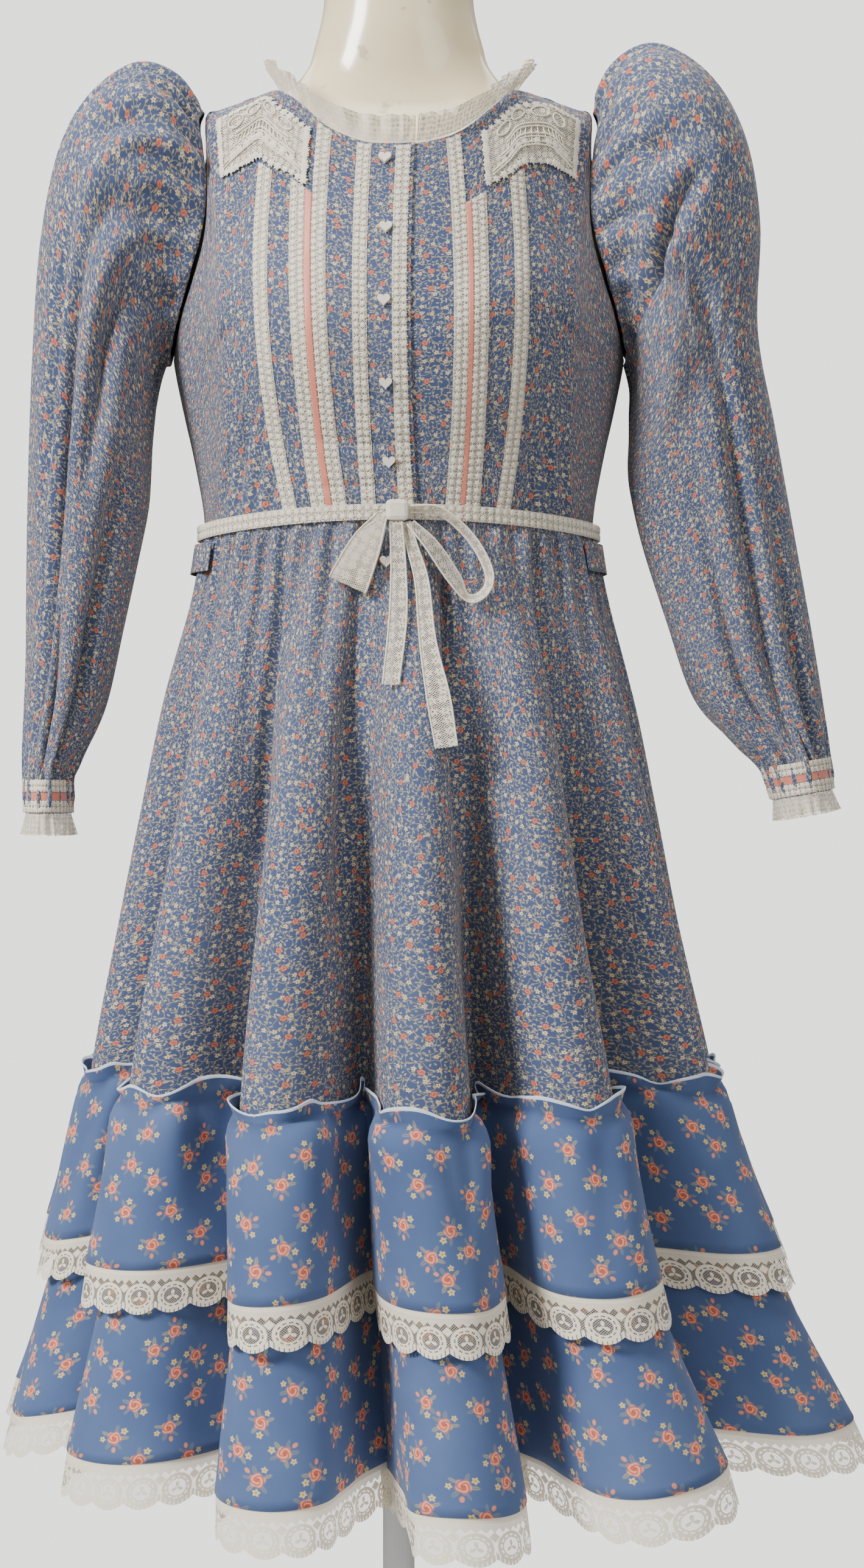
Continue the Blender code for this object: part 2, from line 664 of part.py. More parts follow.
def skirt_point(around, level, flare=0.0):
    """A point of the skirt: around counts the folds from the first ridge, level is a height."""
    around, level = np.broadcast_arrays(np.asarray(around, float), np.asarray(level, float))
    nearest = np.floor(around + 0.5).astype(int)
    phase = (around - nearest) * 2 * np.pi
    here = nearest % FOLD_COUNT
    beside = (nearest + np.where(phase >= 0, 1, -1)) % FOLD_COUNT
    down = np.clip((RUFFLE_SEAM - level) / (RUFFLE_SEAM - HEM_LEVEL), 0, 1)
    seam = FOLDS["seam_angle"][here]
    ridge = np.radians(seam + (FOLDS["hem_angle"][here] - seam) * down)
    next_seam = FOLDS["seam_angle"][beside]
    next_ridge = np.radians(next_seam + (FOLDS["hem_angle"][beside] - next_seam) * down)
    half = ((next_ridge - ridge) * np.sign(phase + 1e-9)) % (2 * np.pi) / 2
    grown = smooth(SKIRT, "fold", level)
    strength = grown / SKIRT["fold"].max()
    share = phase / np.pi + strength * (LOBE_WIDTH * np.sin(phase) + LOBE_LEAN * np.sin(2 * phase))
    angle = ridge + half * share
    crest = (1 + np.cos(phase)) / 2
    valley = FOLDS["valley"][np.where(phase >= 0, here, (nearest - 1) % FOLD_COUNT)]
    reach = np.cos(phase) * (FOLDS["ridge"][here] * crest + valley * (1 - crest))
    out = grown * reach
    width = smooth(SKIRT, "half_width", level) * (1 + flare) + out
    depth = smooth(SKIRT, "depth", level) * (1 + flare) + out
    fallen = (TOP_LEVEL - level) / (TOP_LEVEL - HEM_LEVEL)
    height = level + fallen * (SIDE_RISE * np.sin(angle) ** 2 + VALLEY_RISE * (1 - crest))
    across = width * np.sin(angle) + smooth(SKIRT, "shift", level)
    return np.stack([across, -depth * np.cos(angle), height], axis=-1)


def skirt_grid(levels, flares=None):
    flares = [0.0] * len(levels) if flares is None else flares
    rows = [skirt_point(ROUND_SKIRT, level, flare) for level, flare in zip(levels, flares)]
    return np.stack(rows, axis=0)


def skirt_angle(around):
    point = skirt_point(around, TOP_LEVEL)
    return np.arctan2(point[..., 0], -point[..., 1])


def build_skirt():
    waist = waist_seam(skirt_angle(ROUND_SKIRT)) - WAIST_GAP
    grid = skirt_grid([*SKIRT_ROWS, waist])
    cloth("skirt", grid, CLOTH, CALICO, wrap=True)


def hanging_row(level, flare, gap):
    """A row of the flared skirt, moved out by the gap. Rows just above and below give its slope."""
    levels = [level - 0.001, level, level + 0.001]
    return moved_out(skirt_grid(levels, [flare] * 3), gap, wrap=True)[1]


def build_ruffle(name, rows, flares, lace_level, lace_flare, lace_gap):
    """A gathered ruffle, and the lace sewn to its hem."""
    levels = rows["height"]
    grid = [hanging_row(level, flare, gap) for level, flare, gap in zip(levels, flares, rows["gap"])]
    cloth(name, np.stack(grid, axis=0), CLOTH, ROSE_PRINT, wrap=True)
    hem = grid[0]
    edge = hanging_row(lace_level, lace_flare, lace_gap)
    start = hem + (edge - hem) * (2 * SEAM_GAP / (levels[0] - lace_level))
    cloth(f"{name}_lace", np.stack([edge, start], axis=0), LACE, LACE_FINISH, wrap=True)


def flare_at(level, top, end, most):
    return most * (top - level) / (top - end)


def build_ruffles():
    upper_flares = flare_at(UPPER_ROWS["height"], RUFFLE_SEAM, UPPER_LACE_END, UPPER_FLARE)
    upper_flares[-1] = HEADING_FLARE
    build_ruffle("ruffle_upper", UPPER_ROWS, upper_flares, UPPER_LACE_END, UPPER_FLARE, UPPER_LACE_GAP)
    lower_flares = flare_at(LOWER_ROWS["height"], LOWER_TOP, LOWER_LACE_END, LOWER_FLARE)
    build_ruffle("ruffle_lower", LOWER_ROWS, lower_flares, LOWER_LACE_END, LOWER_FLARE, LOWER_GAP)


# ---- the neck frill, belt, bows and buttons ----

def neck_edge():
    """Points along the neckline, from the placket edge round by the left, back and right."""
    reach = FRONT_NECK["out"][-1]
    placket = TAPES[4][1] + TAPE_WIDTH / 2 + PLACKET_EDGE
    points = []
    for share in np.linspace(0, 1, NECK_FRILL_STEPS + 1):
        sweep = share * 2 * np.pi
        front = math.cos(sweep) > 0
        out = -reach * math.sin(sweep)
        # Both ends ease over to the placket, with the lapped-over end just past it
        ease = min(1.0, min(share, 1 - share) / NECK_EASE)
        start = placket if share < 0.5 else placket + NECK_LAP
        out = start + (out - start) * ease
        height = neck_height(out, front)
        width = float(smooth(BODY, "half_width", height))
        turn = math.asin(max(-1.0, min(1.0, out / width)))
        points.append(body_point(turn if front else math.pi - turn, height))
    return np.array(points)


def build_neck_frill():
    edge = neck_edge()
    away = edge * np.array([1.0, 1.0, 0.0])
    away /= np.linalg.norm(away, axis=1, keepdims=True)
    up = np.array([0.0, 0.0, 1.0])
    ripple = np.where(np.arange(len(edge)) % 2 == 0, 1.0, -1.0)[:, None] * NECK_FRILL_RIPPLE
    base = edge + (up + away) * NECK_FRILL_LIFT
    middle = base + up * NECK_FRILL_HEIGHT * 0.45 + away * (NECK_FRILL_FLARE * 0.4 + ripple * 0.6)
    top = base + up * NECK_FRILL_HEIGHT + away * (NECK_FRILL_FLARE + ripple)
    grid = np.stack([base, middle, top], axis=0)[:, ::-1]
    cloth("neck_frill", grid, LACE, LACE_FINISH)


def belt_point(angle, up, out):
    x = (WAIST_HALF_WIDTH + out) * np.sin(angle)
    y = -(WAIST_FRONT + out) * np.cos(angle)
    return np.stack([x, y, waist_seam(angle) + BELT_ABOVE_SEAM + up], axis=-1)


def build_belt():
    angles = np.arange(BELT_STEPS) * 2 * np.pi / BELT_STEPS
    rows = [belt_point(angles, up, BELT_OUT) for up in (-BELT_HEIGHT / 2, BELT_HEIGHT / 2)]
    cloth("lace_belt", np.stack(rows, axis=0), LACE, LACE_FINISH, wrap=True)


def front_of_skirt(x, height):
    """How far forward the skirt's face is at a place near the middle front."""
    around = np.linspace(*FRONT_FOLDS, 241)
    points = skirt_point(around, height)
    return float(np.interp(x, points[:, 0], points[:, 1]))


def back_of_skirt(x, height):
    """How far back the skirt's face is at a place near the middle of the back."""
    around = np.linspace(*BACK_FOLDS, 241)
    points = skirt_point(around, height)
    near = np.abs(points[:, 0] - x) < BACK_TIE_REACH
    return float(points[near, 1].max())


def tape_run(name, path, face, finish, thickness, facing):
    """A tape along a path off a face that lies towards facing, -1 in front and 1 behind."""
    lie = np.radians(path["lie"])
    tilt = np.radians(path["tilt"])
    behind = np.array([face(x, height) for x, height in zip(path["x"], path["height"])])
    centre = np.stack([path["x"], behind + facing * path["out"], path["height"]], axis=-1)
    flat = np.cos(tilt)
    across = np.stack([np.cos(lie) * flat, facing * np.sin(tilt), np.sin(lie) * flat], axis=-1)
    reach = across * path["half"][:, None]
    cloth(name, np.stack([centre - reach, centre + reach], axis=0), thickness, finish)


def turned_round(path):
    """The same path from its other end, so that the tape faces the other way."""
    return {name: values[::-1] for name, values in path.items()}


def rounded_block(name, centre, size, finish):
    bpy.ops.mesh.primitive_cube_add(size=1, location=centre)
    made = bpy.context.object
    made.name = name
    made.data.name = name
    made.scale = size
    bpy.ops.object.transform_apply(location=False, rotation=False, scale=True)
    rounding = made.modifiers.new("rounding", "BEVEL")
    rounding.width = min(size) * 0.32
    rounding.segments = 2
    made.data.materials.append(finish)
    made.data.shade_smooth()
    for held in list(made.users_collection):
        held.objects.unlink(made)
    DRESS.objects.link(made)


def build_front_bow():
    middle = WAIST_FRONT + BELT_OUT + LACE + 2 * SEAM_GAP + BOW_KNOT[1] / 2
    rounded_block("bow_knot", (0.0, -middle, BOW_LEVEL), BOW_KNOT, LACE_FINISH)
    for name, path in (
        ("bow_loop_left", turned_round(BOW_LOOP_LEFT)),
        ("bow_loop_right", turned_round(BOW_LOOP_RIGHT)),
        ("bow_tail_left", BOW_TAIL_LEFT),
        ("bow_tail_right", BOW_TAIL_RIGHT),
    ):
        tape_run(name, path, front_of_skirt, LACE_FINISH, LACE, -1)


def sash_plane(_x, _height):
    return SASH_BEHIND


def build_sash():
    """The ties sewn in at the sides of the waist, and their bow behind."""
    angles = np.radians(np.linspace(*SASH_ANGLES, SASH_STEPS))
    for side, run in (("right", angles), ("left", -angles[::-1])):
        rows = [skirt_ring_point(run, edge) for edge in SASH_EDGES]
        cloth(f"sash_{side}", np.stack(rows, axis=0), CLOTH, CALICO)
    rounded_block("sash_knot", (0.0, SASH_BEHIND, SASH_LEVEL), SASH_KNOT, CALICO)
    start = SASH_LOOP["x"][0]
    loop_left = dict(SASH_LOOP)
    loop_left["x"] = -(start + (SASH_LOOP["x"] - start) * SASH_LOOP_LEFT_SHARE)
    loop_left["height"] = SASH_LOOP["height"] - SASH_LOOP_LEFT_DROP
    tail_left = dict(SASH_TAIL)
    tail_left["x"] = -(SASH_TAIL["x"] + SASH_TAIL_LEFT_SHIFT)
    tape_run("sash_loop_right", turned_round(SASH_LOOP), sash_plane, CALICO, CLOTH, 1)
    tape_run("sash_loop_left", loop_left, sash_plane, CALICO, CLOTH, 1)
    tape_run("sash_tail_right", SASH_TAIL, back_of_skirt, CALICO, CLOTH, 1)
    tape_run("sash_tail_left", tail_left, back_of_skirt, CALICO, CLOTH, 1)


def skirt_ring_point(angle, height):
    """A point off the skirt's outer face near the waist, where it has no folds yet."""
    width = smooth(SKIRT, "half_width", height) + SASH_OUT
    depth = smooth(SKIRT, "depth", height) + SASH_OUT
    return np.stack([width * np.sin(angle), -depth * np.cos(angle), np.full(angle.shape, height)], axis=-1)


def heart_outline(size, steps=20):
    """A heart's edge, point down, from its usual formula."""
    turn = np.arange(steps) * 2 * np.pi / steps
    x = 16 * np.sin(turn) ** 3
    z = 13 * np.cos(turn) - 5 * np.cos(2 * turn) - 2 * np.cos(3 * turn) - np.cos(4 * turn)
    return np.stack([x, z], axis=-1) * (size / 32)


def build_button(name, x, height, y, lean):
    outline = bpy.data.curves.new(name, "CURVE")
    outline.dimensions = "2D"
    outline.fill_mode = "BOTH"
    outline.extrude = BUTTON_THICK / 2
    edge = heart_outline(BUTTON_SIZE)
    run = outline.splines.new("POLY")
    run.points.add(len(edge) - 1)
    for point, (across, up) in zip(run.points, edge):
        point.co = (across, up, 0, 1)
    run.use_cyclic_u = True
    outline.materials.append(BUTTON)
    made = bpy.data.objects.new(name, outline)
    made.location = (x, y, height)
    made.rotation_euler = (math.pi / 2 + lean, 0, 0)
    DRESS.objects.link(made)


def placket_face(grid, x, height):
    """How far forward the lapped half lies between its two columns beside the buttons."""
    beside = grid[:, -5], grid[:, -3]
    across = [np.interp(height, column[:, 2], column[:, 0]) for column in beside]
    forward = [np.interp(height, column[:, 2], column[:, 1]) for column in beside]
    return float(np.interp(x, across, forward))


def build_buttons():
    grid = front_left_grid()
    for number, (x, height) in enumerate(BODICE_BUTTONS, start=1):
        face = placket_face(grid, x, height)
        slope = placket_face(grid, x, height + 0.005) - placket_face(grid, x, height - 0.005)
        out = CLOTH + BUTTON_SEAT + BUTTON_THICK / 2
        build_button(f"button_{number}", x, height, face - out, -math.atan2(slope, 0.01))
    x, height = SKIRT_BUTTON
    slope = front_of_skirt(x, height + 0.01) - front_of_skirt(x, height - 0.01)
    out = CLOTH + 2 * BUTTON_SEAT + BUTTON_THICK / 2
    build_button("button_skirt", x, height, front_of_skirt(x, height) - out, -math.atan2(slope, 0.02))


# ---- the form and its stand ----

def build_form():
    heights = np.sort(np.concatenate([[FORM_BOTTOM], BODY["height"][1:], FORM_EXTRA_ROWS]))
    angles = np.arange(FORM_SIDES) * 2 * np.pi / FORM_SIDES
    grid = np.stack([body_point(angles, height) for height in heights], axis=0)
    clear = smooth(BODY, "clear", heights)[:, None, None]
    grid = grid - grid_normals(grid, True) * clear
    mesh = bpy.data.meshes.new("dress_form")
    columns = len(angles)
    faces = []
    for row in range(len(heights) - 1):
        for column in range(columns):
            beside = (column + 1) % columns
            low = row * columns
            high = low + columns
            faces.append((low + column, low + beside, high + beside, high + column))
    faces.append(tuple(range(columns))[::-1])
    faces.append(tuple(range(columns * (len(heights) - 1), columns * len(heights))))
    mesh.from_pydata(grid.reshape(-1, 3).tolist(), [], faces)
    finished("dress_form", mesh, FORM, DRESS)


def turned(name, profile, finish, sides):
    """A turned solid from (radius, height) pairs that run down its outer side."""
    mesh = bpy.data.meshes.new(name)
    points = [(radius, 0, height) for radius, height in profile]
    edges = [(i, i + 1) for i in range(len(points) - 1)]
    mesh.from_pydata(points, edges, [])
    made = bpy.data.objects.new(name, mesh)
    mesh.materials.append(finish)
    DRESS.objects.link(made)
    spin = made.modifiers.new("turn", "SCREW")
    spin.steps = sides
    spin.render_steps = sides
    spin.use_merge_vertices = True
    spin.merge_threshold = 0.0001
    spin.use_smooth_shade = True


def build_stand():
    base = (
        (0, BASE_HUB),
        (0.030, BASE_HUB),
        (0.050, BASE_THICK),
        (BASE_RADIUS - 0.012, BASE_THICK - 0.003),
        (BASE_RADIUS - 0.003, BASE_THICK - 0.006),
        (BASE_RADIUS, 0.004),
        (BASE_RADIUS - 0.002, 0),
        (0, 0),
    )
    turned("stand_base", base, STAND, 48)
    foot = BASE_HUB + SEAM_GAP
    top = FORM_BOTTOM - SEAM_GAP
    pole = (
        (0, top),
        (SOCKET_RADIUS, top),
        (SOCKET_RADIUS, top - 0.006),
        (COLLAR_RADIUS, top - 0.012),
        (POLE_RADIUS, top - 0.03),
        (POLE_RADIUS, foot + 0.03),
        (COLLAR_RADIUS, foot + 0.012),
        (COLLAR_RADIUS, foot),
        (0, foot),
    )
    turned("stand_pole", pole, STAND, 24)


def clear_scene():
    for old in list(bpy.data.objects):
        bpy.data.objects.remove(old)


clear_scene()
DRESS = bpy.data.collections.new("peasant_dress_on_form")
bpy.context.scene.collection.children.link(DRESS)
CALICO = material("calico", (0.17, 0.20, 0.30), 0.85)
ROSE_PRINT = material("rose_print", (0.08, 0.16, 0.38), 0.8)
LACE_FINISH = material("lace", (0.82, 0.77, 0.68), 0.9)
RIBBON = material("ribbon", (0.75, 0.25, 0.18), 0.4)
BUTTON = material("button", (0.85, 0.80, 0.70), 0.3)
FORM = material("form_shell", (0.80, 0.70, 0.50), 0.25)
STAND = material("stand", (0.62, 0.62, 0.60), 0.38, 0.3)
build_form()
build_stand()
build_bodice()
build_sleeve("left", SLEEVE_LEFT, SLEEVE_FOLDS_LEFT, -1)
build_sleeve("right", SLEEVE_RIGHT, SLEEVE_FOLDS_RIGHT, 1)
build_skirt()
build_ruffles()
build_neck_frill()
build_belt()
build_front_bow()
build_sash()
build_buttons()
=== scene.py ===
# %% [markdown]
# # A peasant dress on its form
# This lesson dresses a limbless form in a long-sleeved peasant dress: calico with a small flower
# print, two hem ruffles of rose print edged in lace, daisy lace tapes, satin ribbon and heart
# buttons. The solid model of every piece comes in as a fixed frame. Each sheet of cloth is then
# laid again, much finer, on the same curves, and gets its gathers, creases, weave and print.

# %% Load the frame
import math

import bpy
import numpy as np
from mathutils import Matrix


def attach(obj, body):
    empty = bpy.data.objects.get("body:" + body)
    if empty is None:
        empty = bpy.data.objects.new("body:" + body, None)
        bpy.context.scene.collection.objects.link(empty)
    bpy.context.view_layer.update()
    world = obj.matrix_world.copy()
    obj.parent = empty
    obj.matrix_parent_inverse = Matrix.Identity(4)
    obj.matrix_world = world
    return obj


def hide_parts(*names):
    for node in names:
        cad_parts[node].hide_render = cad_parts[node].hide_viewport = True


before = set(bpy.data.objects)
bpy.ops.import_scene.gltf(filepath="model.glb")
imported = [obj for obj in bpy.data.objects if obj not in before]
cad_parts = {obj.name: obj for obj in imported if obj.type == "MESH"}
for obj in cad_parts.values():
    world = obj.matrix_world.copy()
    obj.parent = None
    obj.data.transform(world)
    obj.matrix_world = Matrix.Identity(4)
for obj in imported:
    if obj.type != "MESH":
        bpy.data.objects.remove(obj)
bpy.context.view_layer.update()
print("solids in the frame:", len(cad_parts))

# %% [markdown]
# ## The camera
# The camera stands level with the middle of the dress, 2.6 m in front of it. A long lens keeps
# the sleeves and the hem from spreading towards the edges.

# %% Make the camera
CAMERA_PLACE = (0.0262, -2.6, 0.848)
FIELD_OF_VIEW = math.radians(26.77)

camera = bpy.data.objects.new("camera", bpy.data.cameras.new("camera"))
camera.location = CAMERA_PLACE
camera.rotation_euler = (math.pi / 2, 0, 0)
camera.data.lens = camera.data.sensor_width / 2 / math.tan(FIELD_OF_VIEW / 2)
bpy.context.scene.collection.objects.link(camera)
bpy.context.scene.camera = camera
print("lens, mm:", round(camera.data.lens, 1))

# %% [markdown]
# ## Tables and smooth curves
# A dressmaker's size chart has a row for each level of the body. The same kind of table drives
# every surface here: each row is a level, each named column a measure, and a cubic curve runs
# smoothly from row to row.

# %% Read a table along a smooth curve
def table(columns, *rows):
    """Rows of numbers as one array for each named column."""
    return {name: np.array(values, float) for name, values in zip(columns.split(), zip(*rows))}


def smooth(rows, column, at, key="height"):
    """The column's value at a height, on a smooth curve through the rows."""
    keys = rows[key]
    values = rows[column]
    slopes = np.gradient(values, keys)
    at = np.clip(np.asarray(at, float), keys[0], keys[-1])
    piece = np.clip(np.searchsorted(keys, at, side="right") - 1, 0, len(keys) - 2)
    span = keys[piece + 1] - keys[piece]
    share = (at - keys[piece]) / span
    rise = share * share * (3 - 2 * share)
    bends = slopes[piece] * share * (1 - share) ** 2 + slopes[piece + 1] * share * share * (share - 1)
    return values[piece] * (1 - rise) + values[piece + 1] * rise + span * bends


def eased(values, at):
    """Values read between the rows of an array on a cubic curve, at fractional row numbers."""
    slopes = np.gradient(values, axis=0)
    row = np.clip(np.floor(at).astype(int), 0, len(values) - 2)
    share = (at - row).reshape((-1,) + (1,) * (values.ndim - 1))
    rise = share * share * (3 - 2 * share)
    bends = slopes[row] * share * (1 - share) ** 2 + slopes[row + 1] * share * share * (share - 1)
    return values[row] * (1 - rise) + values[row + 1] * rise + bends


def at_places(grid, rows, columns, wrap=False):
    """The grid read smoothly at any row and column numbers."""
    across = np.swapaxes(eased(grid, np.asarray(rows, float)), 0, 1)
    if wrap:
        across = np.concatenate([across[-3:], across, across[:4]])
        columns = np.asarray(columns) + 3
    return np.swapaxes(eased(across, np.asarray(columns, float)), 0, 1)


def refined(grid, rows, columns):
    """A tube's grid of points read again at more rows and columns."""
    places = np.arange(columns) * grid.shape[1] / columns
    return at_places(grid, np.linspace(0, len(grid) - 1, rows), places, wrap=True)

# %% [markdown]
# ## From a grid of points to a sheet of cloth
# Cloth is one surface, so each sheet starts as a grid of points: rows go up the piece and
# columns go round the body. Its UV map is in metres, measured along the cloth itself, so that a
# flower has the same size on a sleeve as on the skirt. Solidify then gives the cloth its
# thickness on the outside.

# %% Grid helpers
def grid_normals(grid, wrap=False):
    """The outward direction at each point of a grid whose columns run round the body."""
    across = np.roll(grid, -1, 1) - np.roll(grid, 1, 1)
    if not wrap:
        across[:, 0] = grid[:, 1] - grid[:, 0]
        across[:, -1] = grid[:, -1] - grid[:, -2]
    out = np.cross(across, np.gradient(grid, axis=0))
    return out / np.maximum(np.linalg.norm(out, axis=-1, keepdims=True), 1e-12)


def moved_out(grid, distance, wrap=False):
    distance = np.asarray(distance, float)
    if distance.ndim:
        distance = distance[..., None]
    return grid + grid_normals(grid, wrap) * distance


def measured(grid, wrap=False):
    """A UV map in metres, as on the flat cloth: a column keeps its own u all the way up."""
    closed = np.concatenate([grid, grid[:, :1]], axis=1) if wrap else grid
    steps = np.linalg.norm(np.diff(closed, axis=1), axis=-1).mean(axis=0)
    u = np.concatenate([[0], np.cumsum(steps)])
    rises = np.linalg.norm(np.diff(closed, axis=0), axis=-1).mean(axis=1)
    v = np.concatenate([[0], np.cumsum(rises)])
    return np.stack(np.broadcast_arrays(u[None, :], v[:, None]), axis=-1)


PIECES = bpy.data.collections.new("peasant_dress")
bpy.context.scene.collection.children.link(PIECES)


def mesh_piece(name, points, faces, finish, face_uvs=None):
    """A mesh object from points and faces, with a finish and, if given, a UV for each corner."""
    mesh = bpy.data.meshes.new(name)
    mesh.from_pydata(points.tolist(), [], faces)
    if face_uvs is not None:
        layer = mesh.uv_layers.new(name="cloth_metres")
        layer.data.foreach_set("uv", np.asarray(face_uvs, np.float32).ravel())
    mesh.shade_smooth()
    mesh.materials.append(finish)
    made = bpy.data.objects.new(name, mesh)
    PIECES.objects.link(made)
    return made


def apply_modifiers(made):
    bpy.ops.object.select_all(action="DESELECT")
    bpy.context.view_layer.objects.active = made
    made.select_set(True)
    for modifier in list(made.modifiers):
        bpy.ops.object.modifier_apply(modifier=modifier.name)
    made.select_set(False)


def sheet_piece(name, grid, finish, uv, wrap=False, thickness=0.0):
    """A sheet of cloth through a grid of points."""
    rows, columns = grid.shape[:2]
    cells = columns if wrap else columns - 1
    row = np.repeat(np.arange(rows - 1), cells)
    left = np.tile(np.arange(cells), rows - 1)
    right = left + 1
    corners = [(row, left), (row, right), (row + 1, right), (row + 1, left)]
    faces = np.stack([r * columns + c % columns for r, c in corners], axis=-1)
    face_uvs = np.stack([uv[r, c] for r, c in corners], axis=1)
    made = mesh_piece(name, grid.reshape(-1, 3), faces.tolist(), finish, face_uvs)
    if thickness:
        wall = made.modifiers.new("cloth", "SOLIDIFY")
        wall.thickness = thickness
        wall.offset = 1
        apply_modifiers(made)
    return made


def dress_with(piece, slot, *nodes):
    """Sets what the piece rides on and hides the solids that it stands for. slot is not used."""
    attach(piece, "root")
    if nodes:
        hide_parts(*nodes)


def cloth_area(grid, wrap):
    """The area of the sheet through a grid, in square metres."""
    closed = np.concatenate([grid, grid[:, :1]], axis=1) if wrap else grid
    first = closed[1:, 1:] - closed[:-1, :-1]
    second = closed[1:, :-1] - closed[:-1, 1:]
    return float(np.linalg.norm(np.cross(first, second), axis=-1).sum() / 2)


def declare_sheet(piece, grid, wrap):
    """Measures a sheet's cut on the cloth, all round on a tube, and prints its flat size."""
    size = measured(grid, wrap)
    width = float(np.abs(size[:, -1, 0] - size[:, 0, 0]).mean())
    length = float(size[-1, 0, 1])
    print(piece.name, "flat size, m:", round(width, 3), "by", round(length, 3))
    if min(width, length) >= 0.01:
        area = min(cloth_area(grid, wrap), width * length)


# %% [markdown]
# ## Shader maths as plain expressions
# A printed pattern is arithmetic on the cloth's UV map. Wrapping a node's output in a small
# class lets that arithmetic be written as Python: adding two wrapped outputs adds a Math node.

# %% The wrapper and its one node maker
class Wire:
    """One output of a shader node."""

    tree = None

    def __init__(self, socket):
        self.socket = socket

    def math(self, operation, *others):
        return node("Math", {"operation": operation}, [self, *others])

    def __add__(self, other):
        return self.math("ADD", other)

    def __sub__(self, other):
        return self.math("SUBTRACT", other)

    def __rsub__(self, other):
        return node("Math", {"operation": "SUBTRACT"}, [other, self])

    def __mul__(self, other):
        return self.math("MULTIPLY", other)

    def __truediv__(self, other):
        return self.math("DIVIDE", other)

    def __rtruediv__(self, other):
        return node("Math", {"operation": "DIVIDE"}, [other, self])

    def __pow__(self, other):
        return self.math("POWER", other)

    __radd__ = __add__
    __rmul__ = __mul__

    def under(self, limit, soft=0.1):
        """1 where the value is under the limit, falling off over a soft share of it."""
        edge = abs(limit) * soft + 1e-9
        inputs = {"Value": self, "From Min": limit + edge, "From Max": limit - edge}
        return node("MapRange", {"interpolation_type": "SMOOTHSTEP"}, inputs)

    def over(self, limit, soft=0.1):
        return 1 - self.under(limit, soft)


def node(kind, settings, values, output=0):
    """A node of the current tree: its settings first, then its sockets' values or links."""
    made = Wire.tree.nodes.new("ShaderNode" + kind)
    for name, value in settings.items():
        setattr(made, name, value)
    named = values.items() if isinstance(values, dict) else enumerate(values)
    for name, value in named:
        if isinstance(value, Wire):
            Wire.tree.links.new(value.socket, made.inputs[name])
        else:
            made.inputs[name].default_value = value
    return Wire(made.outputs[output])


def colour_mix(share, first, second):
    inputs = {0: share, 6: first, 7: second}
    return node("Mix", {"data_type": "RGBA"}, inputs, output=2)


def start_material(name):
    """A new material whose tree is the current one, and its Principled shader."""
    made = bpy.data.materials.new(name)
    made.use_nodes = True
    Wire.tree = made.node_tree
    return made, made.node_tree.nodes["Principled BSDF"]


def feed(shader, **sockets):
    """Sets the shader's sockets, given with _ for each space, to values or links."""
    for name, value in sockets.items():
        socket = shader.inputs[name.replace("_", " ")]
        if isinstance(value, Wire):
            Wire.tree.links.new(value.socket, socket)
        else:
            socket.default_value = value


def srgb(red, green, blue, alpha=1.0):
    """A colour given as 0 to 255 on screen, as the linear values that shaders use."""
    channels = (red, green, blue)
    linear = [((c / 255 + 0.055) / 1.055) ** 2.4 if c > 10 else c / 3295 for c in channels]
    return (*linear, alpha)


def cloth_coordinates():
    """The UV map in metres, and its two parts."""
    vector = node("TexCoord", {}, {}, output="UV")
    return vector, node("SeparateXYZ", {}, [vector], 0), node("SeparateXYZ", {}, [vector], 1)


def noise(vector, scale, detail=2.0, dimensions="2D"):
    inputs = {"Vector": vector, "Scale": scale, "Detail": detail}
    return node("TexNoise", {"noise_dimensions": dimensions}, inputs)
print("mid grey on screen, as light:", round(srgb(128, 128, 128)[0], 3))

# %% [markdown]
# ## Motifs on a jittered lattice
# A small print repeats without lining up. A two-dimensional Voronoi texture gives each patch of
# cloth its nearest motif centre and a random colour. The offset from that centre, turned by the
# random colour, is the motif's own pair of axes, and ellipses in them draw petals and leaves.

# %% Motif helpers
class Motif:
    """The local axes, in metres, of the nearest motif centre, and two random numbers for it."""

    def __init__(self, vector, spacing, jitter, turn=True):
        settings = {"voronoi_dimensions": "2D", "feature": "F1"}
        inputs = {"Vector": vector, "Scale": 1 / spacing, "Randomness": jitter}
        place = node("TexVoronoi", settings, inputs, output="Position")
        tint = node("TexVoronoi", settings, inputs, output="Color")
        self.chance = node("SeparateColor", {}, [tint], 0)
        self.second = node("SeparateColor", {}, [tint], 1)
        away = node("VectorMath", {"operation": "SUBTRACT"}, [vector, place])
        across = node("SeparateXYZ", {}, [away], 0)
        up = node("SeparateXYZ", {}, [away], 1)
        if turn:
            angle = self.second * (2 * math.pi)
            cosine = angle.math("COSINE")
            sine = angle.math("SINE")
            self.x = across * cosine + up * sine
            self.y = up * cosine - across * sine
        else:
            self.x = across
            self.y = up

    def radius(self, x=0.0, y=0.0):
        return ((self.x - x) ** 2 + (self.y - y) ** 2).math("SQRT")

    def flower(self, size, petals, wave, x=0.0, y=0.0, soft=0.25):
        """A flower whose edge waves in and out once for each petal."""
        turn = (self.y - y).math("ARCTAN2", self.x - x)
        edge = (turn * petals).math("COSINE") * wave + 1
        return (self.radius(x, y) / edge).under(size, soft)

    def ellipse(self, x, y, long, short, lie, soft=0.3):
        """An ellipse at a place, with its long axis at an angle in degrees."""
        cosine = math.cos(math.radians(lie))
        sine = math.sin(math.radians(lie))
        along = ((self.x - x) * cosine + (self.y - y) * sine) / long
        beside = ((self.y - y) * cosine - (self.x - x) * sine) / short
        return (along * along + beside * beside).math("SQRT").under(1.0, soft)


